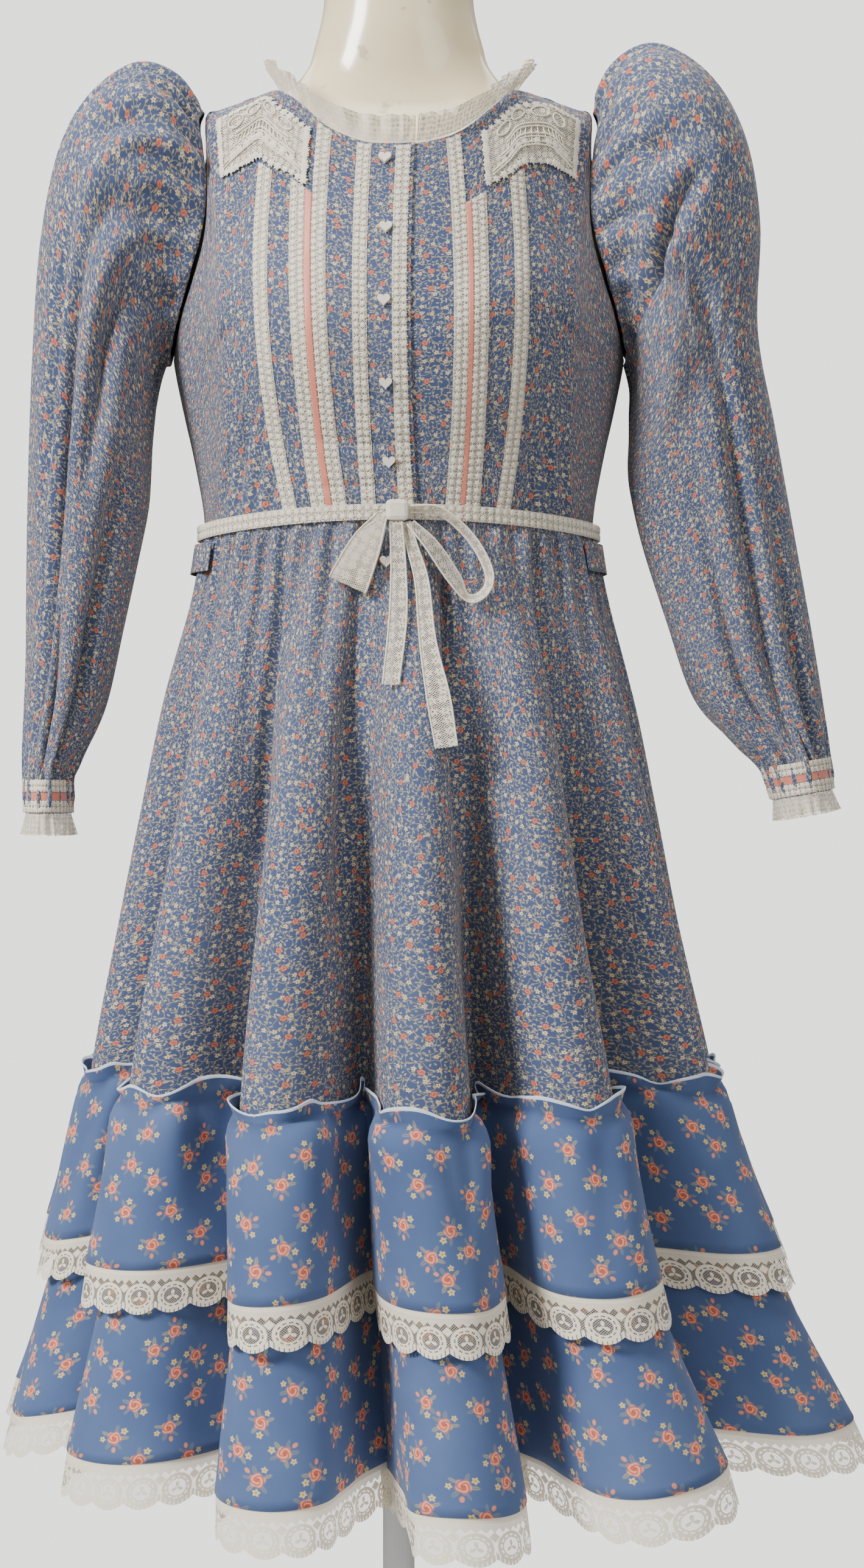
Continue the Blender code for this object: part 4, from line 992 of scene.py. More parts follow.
BACK_CREASES = (
    (-0.110, 1.330, -0.040, 1.290, 0.0080, 0.0025),
    (0.104, 1.322, 0.052, 1.276, 0.0090, 0.0022),
    (-0.120, 1.240, -0.060, 1.205, 0.0080, 0.0028),
    (0.122, 1.230, 0.066, 1.190, 0.0080, 0.0025),
    (-0.100, 1.050, -0.082, 1.130, 0.0050, 0.0034),
    (-0.060, 1.048, -0.052, 1.112, 0.0044, 0.0028),
    (-0.020, 1.048, -0.022, 1.098, 0.0040, 0.0025),
    (0.022, 1.048, 0.020, 1.118, 0.0044, 0.0028),
    (0.058, 1.048, 0.050, 1.102, 0.0042, 0.0026),
    (0.098, 1.050, 0.080, 1.136, 0.0050, 0.0033),
)
PANEL_FINE, PANEL_COLUMNS = 110, 125


def fine_panel(name, coarse, rows, creases):
    """A bodice panel of calico, with its creases."""
    last_row = len(coarse) - 1
    last_column = coarse.shape[1] - 1
    fine = at_places(coarse, np.linspace(0, last_row, rows), np.linspace(0, last_column, PANEL_COLUMNS))
    fine = creased(fine, creases)
    made = sheet_piece(f"cloth_{name}", fine, CALICO, measured(fine), thickness=THIN)
    declare_sheet(made, fine, False)
    dress_with(made, "calico", name)


panel_left = front_left_grid()
panel_right = front_right_grid()
fine_panel("bodice_front_left", panel_left, PANEL_FINE, BODICE_CREASES)
fine_panel("bodice_front_right", panel_right, PANEL_FINE, BODICE_CREASES)
fine_panel("bodice_back", back_grid(), PANEL_FINE, BACK_CREASES)

# %% [markdown]
# ## Daisy tape
# The tape is a strip of net under two rows of daisies. A daisy is a ring of petal tips and
# notches around a raised ring, 24 faces in all, because the dress carries over a thousand.

# %% Daisies and cords
DAISY_PITCH = 0.0055
DAISY_RADIUS = 0.0031
DAISY_LIFT = 0.0003
TAPE_FINE = 90
RIBBON_THICKNESS = 0.0004


def daisy_shape(radius, petals=6):
    """Points and faces of one daisy in its own axes."""
    turn = np.arange(2 * petals) * np.pi / petals
    tip = np.arange(2 * petals) % 2 == 0
    outer = np.stack([np.cos(turn), np.sin(turn), np.zeros(len(turn))], axis=-1)
    outer *= np.where(tip, radius, radius * 0.58)[:, None]
    inner = outer * np.where(tip, 0.55, 0.50)[:, None]
    inner[:, 2] = np.where(tip, radius * 0.26, radius * 0.08)
    points = np.concatenate([outer, inner, [[0, 0, radius * 0.04]]])
    count = len(turn)
    faces = [(i, (i + 1) % count, count + (i + 1) % count, count + i) for i in range(count)]
    faces += [(count + i, count + (i + 1) % count, 2 * count) for i in range(count)]
    return points, faces


def local_axes(grid, rows, columns, wrap=False):
    """Places on a grid at row and column numbers, with their across, up and outward axes."""
    rows = np.asarray(rows, float)
    columns = np.asarray(columns, float)
    up_normals = grid_normals(grid, wrap)
    last_row = len(grid) - 1
    last_column = grid.shape[1] - 1

    def read(values, row, column):
        low = np.clip(np.floor(row).astype(int), 0, last_row - 1)
        share = (row - low)[:, None]
        count = grid.shape[1]
        left = np.floor(column).astype(int)
        if not wrap:
            left = np.clip(left, 0, last_column - 1)
        slide = (column - left)[:, None]
        left = left % count
        right = (left + 1) % count
        first = values[low, left] * (1 - slide) + values[low, right] * slide
        second = values[low + 1, left] * (1 - slide) + values[low + 1, right] * slide
        return first * (1 - share) + second * share

    place = read(grid, rows, columns)
    out = read(up_normals, rows, columns)
    out /= np.linalg.norm(out, axis=1, keepdims=True)
    nudge = np.clip(rows + 0.2, 0, last_row)
    up = read(grid, nudge, columns) - read(grid, nudge - 0.2, columns)
    up /= np.maximum(np.linalg.norm(up, axis=1, keepdims=True), 1e-12)
    across = np.cross(up, out)
    across /= np.linalg.norm(across, axis=1, keepdims=True)
    return place, across, np.cross(out, across), out


def many_shapes(shape, frames, turns, sizes, lift):
    """One mesh's points and faces with the shape at every place."""
    points, faces = shape
    place, across, up, out = frames
    cosine, sine = np.cos(turns)[:, None], np.sin(turns)[:, None]
    x = (points[:, 0] * cosine - points[:, 1] * sine) * sizes[:, None]
    y = (points[:, 0] * sine + points[:, 1] * cosine) * sizes[:, None]
    z = points[:, 2] * sizes[:, None] + lift
    spread = place[:, None] + x[..., None] * across[:, None] + y[..., None] * up[:, None]
    spread = spread + z[..., None] * out[:, None]
    shift = np.arange(len(place)) * len(points)
    joined = [tuple(int(corner + start) for corner in face) for start in shift for face in faces]
    return spread.reshape(-1, 3), joined


def daisy_places(grid, wrap=False):
    """Row and column numbers of two rows of daisies along the longer run of a tape."""
    heights = measured(grid, wrap)
    long_way = heights[-1, 0, 1] >= heights[0, -1, 0]
    length = heights[-1, 0, 1] if long_way else heights[0, -1, 0]
    count = int(round(length / DAISY_PITCH))
    steps = (np.arange(count) + 0.5) / count
    if long_way:
        rows = np.interp(steps * length, heights[:, 0, 1], np.arange(len(grid)))
        sides = (grid.shape[1] - 1) * np.array([0.25, 0.75])
        return np.tile(rows, 2), np.repeat(sides, count)
    columns = steps * (grid.shape[1] if wrap else grid.shape[1] - 1)
    levels = (len(grid) - 1) * np.array([0.25, 0.75])
    return np.repeat(levels, count), np.tile(columns, 2)


def daisy_tape(name, grid, slot, wrap=False):
    """A strip of net, its daisies over it, and its flat size printed."""
    rows, columns = daisy_places(grid, wrap)
    turns = np.random.default_rng(len(name)).uniform(0, np.pi, len(rows))
    frames = local_axes(grid, rows, columns, wrap)
    sizes = np.random.default_rng(7).uniform(0.9, 1.08, len(rows))
    shapes = many_shapes(daisy_shape(DAISY_RADIUS), frames, turns, sizes, DAISY_LIFT)
    flowers = mesh_piece(f"daisies_{name}", *shapes, THREAD)
    net = sheet_piece(f"net_{name}", grid, TAPE_NET, measured(grid, wrap), wrap=wrap)
    declare_sheet(net, grid, wrap)
    dress_with(flowers, slot)
    dress_with(net, slot, name)


# %% [markdown]
# Each tape is the strip between two neighbouring columns of its own front panel, read finely
# enough to bend with the cloth. A ribbon is the strip between the two tapes of a pair.

# %% Lay the tapes and ribbons
FIRST_LEFT = len(SHOULDER_COLUMNS) + len(ARMHOLE_COLUMNS)
outer_left = moved_out(panel_left, ON_PANEL)
outer_right = moved_out(panel_right, ON_PANEL)
for outer in (outer_left, outer_right):
    outer[-1] += (outer[-2] - outer[-1]) * TAPE_DRAWN_BACK

for number, tape in enumerate(TAPES):
    if number < TAPES_LEFT:
        outer, start = outer_left, FIRST_LEFT + 2 * number
    else:
        outer, start = outer_right, 2 + 2 * (number - TAPES_LEFT)
    last = YOKE_ROW if number in TAPES_TO_YOKE else len(PANEL_ROWS) - 1
    strip = at_places(outer, np.linspace(0, last, TAPE_FINE), np.linspace(start, start + 1, 5))
    daisy_tape(tape[0], creased(strip, BODICE_CREASES), "lace")

for side, outer, start in (("left", outer_left, FIRST_LEFT + 3), ("right", outer_right, 3)):
    between = np.linspace(start + 0.02, start + 0.98, 7)
    band = at_places(outer, np.linspace(0, YOKE_ROW, TAPE_FINE), between)
    band = creased(band, BODICE_CREASES)
    made = sheet_piece(f"satin_ribbon_{side}", band, SATIN, measured(band), thickness=RIBBON_THICKNESS)
    declare_sheet(made, band, False)
    dress_with(made, "ribbon", f"ribbon_{side}")

# %% [markdown]
# ## Shoulder lace
# The lace on each shoulder is net with raised cords. Its arrangement is generic: three nested
# arcs with bars between them, daisies between the lower two, rings at the top, and smaller daisies
# round the outline.

# %% Cords on a surface
def cord_mesh(points, outs, radius, sides=6):
    """Points and faces of a cord along points, lying on a surface with those outward directions."""
    run = np.gradient(points, axis=0)
    run /= np.linalg.norm(run, axis=1, keepdims=True)
    beside = np.cross(run, outs)
    beside /= np.linalg.norm(beside, axis=1, keepdims=True)
    high = np.cross(beside, run)
    turn = np.arange(sides) * 2 * np.pi / sides
    ring = np.cos(turn)[None, :, None] * beside[:, None] + np.sin(turn)[None, :, None] * high[:, None]
    rings = (points[:, None] + ring * radius).reshape(-1, 3)
    faces = []
    for i in range(len(points) - 1):
        for j in range(sides):
            k = (j + 1) % sides
            faces.append((i * sides + j, i * sides + k, (i + 1) * sides + k, (i + 1) * sides + j))
    faces.append(tuple(range(sides))[::-1])
    faces.append(tuple(range((len(points) - 1) * sides, len(points) * sides)))
    return rings, faces


def joined_meshes(parts):
    points, faces, start = [], [], 0
    for some, these in parts:
        points.append(some)
        faces += [tuple(int(corner + start) for corner in face) for face in these]
        start += len(some)
    return np.concatenate(points), faces


def cord_on(grid, rows, columns, radius, lift):
    place, _, _, out = local_axes(grid, rows, columns)
    return cord_mesh(place + out * lift, out, radius)


def yoke_design(grid, flip):
    """The cords, bars, rings and daisies of one shoulder, as one mesh."""
    tall, wide = grid.shape[0] - 1, grid.shape[1] - 1
    parts = []
    sway = np.linspace(0, 1, 46)
    arcs = []
    for number, level in enumerate((0.10, 0.30, 0.52)):
        bow = level + 0.16 * np.sin(np.pi * sway) * (1 - number * 0.3)
        start, end = 0.06 + 0.07 * number, 0.94 - 0.07 * number
        across = start + (end - start) * sway
        arcs.append((bow * tall, (1 - across if flip else across) * wide))
        for nudge in (0.0, 0.055):
            rows = np.clip((bow + nudge) * tall, 0, tall)
            parts.append(cord_on(grid, rows, arcs[-1][1], 0.00075, 0.0007))
    for lower, upper in zip(arcs, arcs[1:]):
        for i in range(3, 43, 3):
            rows = np.linspace(lower[0][i], upper[0][i], 4)
            columns = np.linspace(lower[1][i], upper[1][i], 4)
            parts.append(cord_on(grid, rows, columns, 0.0005, 0.0006))
    turn = np.linspace(0, 2 * np.pi, 18)
    for across, up, size in ((0.2, 0.78, 0.1), (0.38, 0.84, 0.09), (0.56, 0.84, 0.09), (0.74, 0.78, 0.1)):
        rows = np.clip((up + size * np.sin(turn)) * tall, 0, tall)
        columns = (across + size * 0.75 * np.cos(turn)) * wide
        parts.append(cord_on(grid, rows, columns, 0.0007, 0.0007))
    spots = np.linspace(4, 41, 9).astype(int)
    middle = (arcs[0][0] + arcs[1][0]) / 2, (arcs[0][1] + arcs[1][1]) / 2
    frames = local_axes(grid, middle[0][spots], middle[1][spots])
    daisies = many_shapes(daisy_shape(0.0044), frames, np.arange(9.0), np.ones(9), 0.0006)
    # More daisies make the outline uneven, as cut-out lace is
    run = np.linspace(0.02, 0.98, 16)
    still = np.zeros(16)
    rows = np.concatenate([still + 0.02, still + 0.98, run[1:-1], run[1:-1]]) * tall
    columns = np.concatenate([run, run, still[1:-1] + 0.02, still[1:-1] + 0.98]) * wide
    frames = local_axes(grid, rows, columns)
    sizes = 0.75 + 0.35 * np.sin(np.arange(len(rows)) * 2.4) ** 2
    rim = many_shapes(daisy_shape(0.0040), frames, np.arange(len(rows)) * 0.7, sizes, 0.0006)
    return joined_meshes([*parts, daisies, rim])


# %% [markdown]
# A patch of each front panel, moved out from the cloth, carries the design. The right shoulder
# takes it mirrored.

# %% Lay the shoulder lace
for side, coarse, last in (
    ("left", moved_out(panel_left, YOKE_OUT), FIRST_LEFT + 3),
    ("right", moved_out(panel_right, YOKE_OUT), panel_right.shape[1] - 1 - YOKE_COLUMN),
):
    levels = np.linspace(YOKE_ROW + YOKE_DRAWN_UP, len(PANEL_ROWS) - 2, 40)
    patch = creased(at_places(coarse, levels, np.linspace(YOKE_COLUMN, last, 70)), BODICE_CREASES)
    cords = mesh_piece(f"yoke_cords_{side}", *yoke_design(patch, side == "right"), THREAD)
    net = sheet_piece(f"yoke_net_{side}", patch, YOKE_NET, measured(patch))
    declare_sheet(net, patch, False)
    dress_with(cords, "lace")
    dress_with(net, "lace", f"yoke_lace_{side}")

# %% [markdown]
# ## The sleeves
# A puffed sleeve is a stack of rings from the armhole to the cuff. Gathers spread from both
# ends, and long folds hang between them where the weight of the cloth turns under the arm.

# %% Sleeve rings
SLEEVE_LEFT = table(
    "outer_x outer_z inner_x inner_z depth middle_y",
    (-0.176, 1.405, -0.186, 1.177, 0.060, 0.000),
    (-0.207, 1.413, -0.191, 1.160, 0.073, -0.002),
    (-0.243, 1.388, -0.193, 1.138, 0.079, -0.004),
    (-0.267, 1.345, -0.195, 1.112, 0.077, -0.006),
    (-0.281, 1.275, -0.196, 1.083, 0.070, -0.008),
    (-0.287, 1.190, -0.198, 1.060, 0.062, -0.010),
    (-0.290, 1.105, -0.206, 1.020, 0.056, -0.012),
    (-0.2915, 1.020, -0.217, 0.968, 0.051, -0.014),
    (-0.292, 0.940, -0.2305, 0.908, 0.046, -0.016),
    (-0.292, 0.880, -0.250, 0.866, 0.042, -0.018),
    (-0.2915, 0.8515, -0.2575, 0.8510, 0.040, -0.019),
    (-0.2910, 0.8255, -0.2570, 0.8250, 0.040, -0.020),
)
SLEEVE_RIGHT = table(
    "outer_x outer_z inner_x inner_z depth middle_y",
    (0.172, 1.413, 0.183, 1.176, 0.062, 0.000),
    (0.203, 1.427, 0.186, 1.158, 0.076, -0.002),
    (0.243, 1.404, 0.184, 1.138, 0.082, -0.005),
    (0.271, 1.357, 0.1825, 1.118, 0.079, -0.007),
    (0.283, 1.290, 0.181, 1.096, 0.071, -0.009),
    (0.281, 1.205, 0.183, 1.075, 0.063, -0.011),
    (0.294, 1.130, 0.192, 1.035, 0.056, -0.013),
    (0.309, 1.045, 0.210, 0.978, 0.050, -0.016),
    (0.324, 0.960, 0.232, 0.915, 0.045, -0.018),
    (0.333, 0.900, 0.262, 0.882, 0.041, -0.020),
    (0.3355, 0.8690, 0.2850, 0.8610, 0.039, -0.021),
    (0.3385, 0.8440, 0.2930, 0.8360, 0.039, -0.022),
)
SLEEVE_SIDES = 16
SLEEVE_START_OUT = 0.0033
SLEEVE_FOLDS_LEFT = ((1.0, 9.0, 38, 30, 0.009, 16), (0.0, 3.5, 150, 120, 0.008, 22))
SLEEVE_FOLDS_RIGHT = ((2.2, 5.5, 40, 120, 0.010, 18), (3.4, 7.5, 60, 150, 0.008, 18))
CUFF_BANDS = (
    ("lace_upper", 0.000, 0.0096, LACE),
    ("ribbon", 0.0099, 0.0159, LACE),
    ("lace_lower", 0.0162, 0.0255, LACE),
)
CUFF_LENGTH = 0.0262
FRILL_DEPTH = 0.0165
FRILL_RIPPLE = 0.0022


def sleeve_fold(folds, ring, turn):
    """How far the folds draw the sleeve in at a ring number and an angle round it."""
    drawn = np.zeros(np.broadcast(ring, turn).shape)
    for first, last, start_angle, end_angle, depth, spread in folds:
        share = np.clip((ring - first) / (last - first), 0, 1)
        centre = np.radians(start_angle + (end_angle - start_angle) * share)
        away = (turn - centre + np.pi) % (2 * np.pi) - np.pi
        drawn = drawn + depth * np.sin(np.pi * share) * np.exp(-((away / math.radians(spread)) ** 2))
    return drawn


def armhole_ring(sign, turns):
    """The sleeve's first ring, round the armhole's edge from the shoulder tip by the front."""
    points = []
    for turn in turns:
        front = turn <= np.pi
        share = turn / np.pi if front else (2 * np.pi - turn) / np.pi
        past, height = armhole(share, front)
        angle = math.pi / 2 - past if front else math.pi / 2 + past
        here = body_point(sign * angle, height)
        beside = body_point(sign * angle + 0.01, height) - here
        above = body_point(sign * angle, height + 0.001) - here
        out = np.cross(beside, above)
        points.append(here + out / np.linalg.norm(out) * SLEEVE_START_OUT)
    return np.array(points)


def sleeve_rings(rows, folds, sign, turns):
    """Rings from the armhole to the cuff, each a list of points round the sleeve."""
    rings = [armhole_ring(sign, turns)]
    for number in range(len(rows["depth"])):
        fore = rows["middle_y"][number]
        outer = np.array([rows["outer_x"][number], fore, rows["outer_z"][number]])
        inner = np.array([rows["inner_x"][number], fore, rows["inner_z"][number]])
        middle = (outer + inner) / 2
        half = (outer - inner) / 2
        forward = np.array([0, -rows["depth"][number], 0])
        drawn = 1 - sleeve_fold(folds, float(number), turns) / np.linalg.norm(half)
        spokes = half * np.cos(turns)[:, None] + forward * np.sin(turns)[:, None]
        rings.append(middle + spokes * drawn[:, None])
    return rings


def ring_grid(rings, sign):
    """Rings as rows, bottom to top, with columns turning the way that faces point outwards."""
    grid = np.stack(rings[::-1], axis=0)
    return grid[:, ::-1] if sign > 0 else grid

# %% [markdown]
# The long folds have the same form as the tables above: first and last ring, the angle round the
# sleeve at each of them, depth and spread. 0 is the outer edge and 90 degrees faces forward.

# %% Lay the sleeves
FINE_FOLDS_LEFT = (
    (0.5, 6.0, 118, 96, 0.0149, 9),
    (1.5, 9.5, 82, 60, 0.0134, 8),
    (2.5, 7.0, 60, 44, 0.0101, 7),
    (0.0, 3.0, 96, 70, 0.0126, 8),
    (0.0, 2.4, 62, 40, 0.0108, 8),
    (4.0, 10.5, 132, 112, 0.0120, 9),
    (5.5, 10.8, 78, 88, 0.0090, 8),
    (1.0, 8.0, 230, 262, 0.0164, 12),
    (3.0, 10.5, 292, 300, 0.0134, 10),
    (0.0, 4.0, 300, 322, 0.0120, 10),
)
FINE_FOLDS_RIGHT = (
    (0.2, 2.6, 138, 60, 0.0179, 9),
    (0.6, 4.0, 120, 92, 0.0131, 8),
    (4.0, 10.0, 62, 88, 0.0126, 8),
    (5.5, 10.6, 104, 116, 0.0108, 8),
    (0.0, 2.5, 84, 50, 0.0108, 8),
    (2.0, 5.5, 96, 70, 0.0101, 7),
    (6.0, 10.8, 44, 58, 0.0090, 8),
    (1.0, 8.0, 232, 258, 0.0164, 12),
    (3.0, 10.5, 294, 300, 0.0134, 10),
    (0.0, 4.0, 302, 320, 0.0120, 10),
)
SLEEVE_ROWS, SLEEVE_COLUMNS = 120, 256


def fine_sleeve(side, rows, folds, fine_folds, sign):
    turns = np.arange(SLEEVE_SIDES) * 2 * np.pi / SLEEVE_SIDES
    rings = sleeve_rings(rows, folds, sign, turns)
    grid = refined(ring_grid(rings, sign), SLEEVE_ROWS, SLEEVE_COLUMNS)
    side_number = np.arange(SLEEVE_COLUMNS) * SLEEVE_SIDES / SLEEVE_COLUMNS
    turn = (SLEEVE_SIDES - 1 - side_number if sign > 0 else side_number) * 2 * np.pi / SLEEVE_SIDES
    ring = (len(rings) - 1) * np.linspace(1, 0, SLEEVE_ROWS) - 1
    uv = measured(grid, True)
    from_cuff = np.broadcast_to(uv[:, :1, 1], grid.shape[:2])
    from_armhole = from_cuff[-1:] - from_cuff
    ease = np.clip(from_armhole / 0.01, 0, 1) * np.clip(from_cuff / 0.012, 0, 1)
    round_it = (turn / (2 * np.pi))[None, :]
    moved = -sleeve_fold(fine_folds, ring[:, None], turn[None, :])
    moved += gathers(round_it, from_armhole, 40, 11 + sign, 0.42, 0.0058, 0.060) * ease
    moved += gathers(round_it, from_cuff, 30, 31 + sign, 0.42, 0.0046, 0.070) * ease
    grid = moved_out(grid, moved, wrap=True)
    made = sheet_piece(f"cloth_sleeve_{side}", grid, CALICO, uv, wrap=True, thickness=THIN)
    declare_sheet(made, grid, True)
    dress_with(made, "calico", f"sleeve_{side}")
    return rings


def cuff_trims(side, rings, sign):
    """The cuff's two laces with the ribbon between them, and the lace frill below."""
    top, end = rings[-2], rings[-1]
    for name, start, stop, _ in CUFF_BANDS:
        levels = [top + (end - top) * (level / CUFF_LENGTH) for level in (start, stop)]
        band = refined(moved_out(ring_grid(levels, sign), ON_PANEL, wrap=True), 5, 96)
        node_name = f"cuff_{name}_{side}"
        if name == "ribbon":
            made = sheet_piece(f"satin_cuff_{side}", band, SATIN, measured(band, True), wrap=True)
            declare_sheet(made, band, True)
            dress_with(made, "ribbon", node_name)
        else:
            daisy_tape(node_name, band, "lace", wrap=True)
    down = (end - top) / CUFF_LENGTH
    centre = end.mean(axis=0)
    spoke = (end - centre) / np.linalg.norm(end - centre, axis=1, keepdims=True)
    start = end + down * 2 * SEAM_GAP
    levels = [start, start + down * FRILL_DEPTH * 0.5 + spoke * FRILL_RIPPLE * 0.5]
    levels.append(start + down * FRILL_DEPTH + spoke * FRILL_RIPPLE)
    grid = refined(ring_grid(levels, sign), 12, 260)
    round_it = np.arange(260)[None, :] / 260
    wave = gathers(round_it, np.zeros((12, 1)), 34, 5 + sign, 0.5, 0.0042, 1.0)
    grid = moved_out(grid, wave * np.linspace(1, 0.1, 12)[:, None], wrap=True)
    made = sheet_piece(f"frill_cuff_{side}", grid, FRILL_NET, measured(grid, True), wrap=True)
    declare_sheet(made, grid, True)
    dress_with(made, "lace", f"cuff_frill_{side}")


for side, rows, folds, fine_folds, sign in (
    ("left", SLEEVE_LEFT, SLEEVE_FOLDS_LEFT, FINE_FOLDS_LEFT, -1),
    ("right", SLEEVE_RIGHT, SLEEVE_FOLDS_RIGHT, FINE_FOLDS_RIGHT, 1),
):
    cuff_trims(side, fine_sleeve(side, rows, folds, fine_folds, sign), sign)

# %% [markdown]
# ## The skirt
# Thirteen uneven folds hang from the waist. Each has its own ridge and valley, read here at many
# more places round the hem than the solid has, with fine gathers under the belt.

# %% Skirt surface
SKIRT = table(
    "height half_width depth fold shift",
    (0.303, 0.270, 0.230, 0.0550, 0.024),
    (0.410, 0.2535, 0.217, 0.0525, 0.015),
    (0.530, 0.2335, 0.202, 0.0470, 0.006),
    (0.629, 0.2185, 0.188, 0.0420, 0.002),
    (0.724, 0.203, 0.174, 0.0345, 0.000),
    (0.816, 0.191, 0.160, 0.0245, 0.000),
    (0.909, 0.179, 0.142, 0.0120, 0.000),
    (0.985, 0.1625, 0.121, 0.0040, 0.000),
    (1.053, WAIST_HALF_WIDTH, WAIST_FRONT, 0.0000, 0.000),
)
FOLDS = table(
    "seam_angle hem_angle ridge valley",
    (-77, -75, 0.55, 0.75),
    (-50, -45, 0.80, 0.95),
    (-22, -18, 0.95, 1.15),
    (5, 5, 1.05, 1.20),
    (32, 29, 1.00, 1.10),
    (64, 66, 0.85, 0.70),
    (93, 94, 0.50, 0.80),
    (120, 121, 0.85, 1.00),
    (147, 146, 1.00, 1.05),
    (175, 176, 0.95, 1.10),
    (203, 202, 1.05, 0.95),
    (230, 231, 0.85, 0.90),
    (256, 257, 0.70, 0.70),
)
FOLD_COUNT = len(FOLDS["ridge"])
LOBE_WIDTH = 0.15
LOBE_LEAN = 0.06
SIDE_RISE = 0.034
VALLEY_RISE = 0.022
HEM_LEVEL = LOWER_LACE_END
TOP_LEVEL = WAIST_SIDE + WAIST_RISE
UPPER_FLARE = 0.065
LOWER_FLARE = 0.120
HEADING_FLARE = 0.012
UPPER_ROWS = table(
    "height gap",
    (UPPER_CLOTH_END, 0.0048),
    (0.535, 0.0042),
    (RUFFLE_SEAM, 0.0026),
    (HEADING_TOP, 0.0026),
)
LOWER_GAP = 0.0022


def skirt_point(around, level, flare=0.0):
    """A point of the skirt: around counts the folds from the first ridge, level is a height."""
    around, level = np.broadcast_arrays(np.asarray(around, float), np.asarray(level, float))
    nearest = np.floor(around + 0.5).astype(int)
    phase = (around - nearest) * 2 * np.pi
    here = nearest % FOLD_COUNT
    beside = (nearest + np.where(phase >= 0, 1, -1)) % FOLD_COUNT
    down = np.clip((RUFFLE_SEAM - level) / (RUFFLE_SEAM - HEM_LEVEL), 0, 1)
    seam = FOLDS["seam_angle"][here]
    ridge = np.radians(seam + (FOLDS["hem_angle"][here] - seam) * down)
    next_seam = FOLDS["seam_angle"][beside]
    next_ridge = np.radians(next_seam + (FOLDS["hem_angle"][beside] - next_seam) * down)
    half = ((next_ridge - ridge) * np.sign(phase + 1e-9)) % (2 * np.pi) / 2
    grown = smooth(SKIRT, "fold", level)
    strength = grown / SKIRT["fold"].max()
    share = phase / np.pi + strength * (LOBE_WIDTH * np.sin(phase) + LOBE_LEAN * np.sin(2 * phase))
    angle = ridge + half * share
    crest = (1 + np.cos(phase)) / 2
    valley = FOLDS["valley"][np.where(phase >= 0, here, (nearest - 1) % FOLD_COUNT)]
    reach = np.cos(phase) * (FOLDS["ridge"][here] * crest + valley * (1 - crest))
    out = grown * reach
    width = smooth(SKIRT, "half_width", level) * (1 + flare) + out
    depth = smooth(SKIRT, "depth", level) * (1 + flare) + out
    fallen = (TOP_LEVEL - level) / (TOP_LEVEL - HEM_LEVEL)
    height = level + fallen * (SIDE_RISE * np.sin(angle) ** 2 + VALLEY_RISE * (1 - crest))
    across = width * np.sin(angle) + smooth(SKIRT, "shift", level)
    return np.stack([across, -depth * np.cos(angle), height], axis=-1)


def skirt_angle(around):
    point = skirt_point(around, TOP_LEVEL)
    return np.arctan2(point[..., 0], -point[..., 1])


def flare_at(level, top, end, most):
    return most * (top - level) / (top - end)

# %% [markdown]
# Fine gathers run down from the waist seam, over the skirt's large folds.

# %% Lay the skirt
# Gathers are given as their count, seed, width as a share of their spacing, depth and reach
WAIST_GATHERS = (96, 3, 0.42, 0.0044, 0.120)
SKIRT_COLUMNS, SKIRT_FINE = 780, 60
SKIRT_CREASES = (
    (2.42, 1.030, 2.30, 0.700, 0.07, 0.0105),
    (1.60, 1.020, 1.48, 0.760, 0.08, 0.0090),
    (3.30, 1.035, 3.36, 0.780, 0.07, 0.0120),
    (4.28, 1.030, 4.42, 0.690, 0.08, 0.0105),
    (0.70, 1.020, 0.58, 0.720, 0.08, 0.0090),
    (5.30, 1.020, 5.38, 0.740, 0.08, 0.0090),
    (6.40, 1.020, 6.52, 0.700, 0.08, 0.0105),
    (7.40, 1.030, 7.32, 0.760, 0.08, 0.0090),
    (8.55, 1.030, 8.62, 0.700, 0.08, 0.0105),
    (9.42, 1.020, 9.34, 0.780, 0.08, 0.0090),
    (10.60, 1.030, 10.66, 0.720, 0.08, 0.0105),
    (11.45, 1.020, 11.36, 0.740, 0.08, 0.0090),
    (12.40, 1.020, 12.52, 0.700, 0.08, 0.0105),
)


def fine_skirt():
    around = (np.arange(SKIRT_COLUMNS) + 0.5) * FOLD_COUNT / SKIRT_COLUMNS
    waist = waist_seam(skirt_angle(around)) - WAIST_GAP
    share = (1 - (1 - np.linspace(0, 1, SKIRT_FINE)) ** 1.25)[:, None]
    levels = SKIRT_END + (waist[None, :] - SKIRT_END) * share
    grid = skirt_point(around[None, :], levels)
    from_waist = waist[None, :] - levels
    moved = gathers(around[None, :], from_waist, *WAIST_GATHERS, FOLD_COUNT)
    for start, high, end, low, width, depth in SKIRT_CREASES:
        moved += crease(around[None, :], levels * 3, (start, high * 3), (end, low * 3), width, depth)
    moved *= np.clip((levels - 0.60) / 0.05, 0, 1) * np.clip(from_waist / 0.010, 0.30, 1)
    grid = moved_out(grid, moved, wrap=True)
    made = sheet_piece("cloth_skirt", grid, CALICO, measured(grid, True), wrap=True, thickness=THIN)
    declare_sheet(made, grid, True)
    dress_with(made, "calico", "skirt")


fine_skirt()

# %% [markdown]
# ## The ruffles and their lace
# Each ruffle is drawn up on its seam, and the upper one has a narrow ruched heading above it.
# The hem lace carries on down the same surface. Its pattern repeats a whole number of times
# round the hem, so that no fan is cut at the seam.

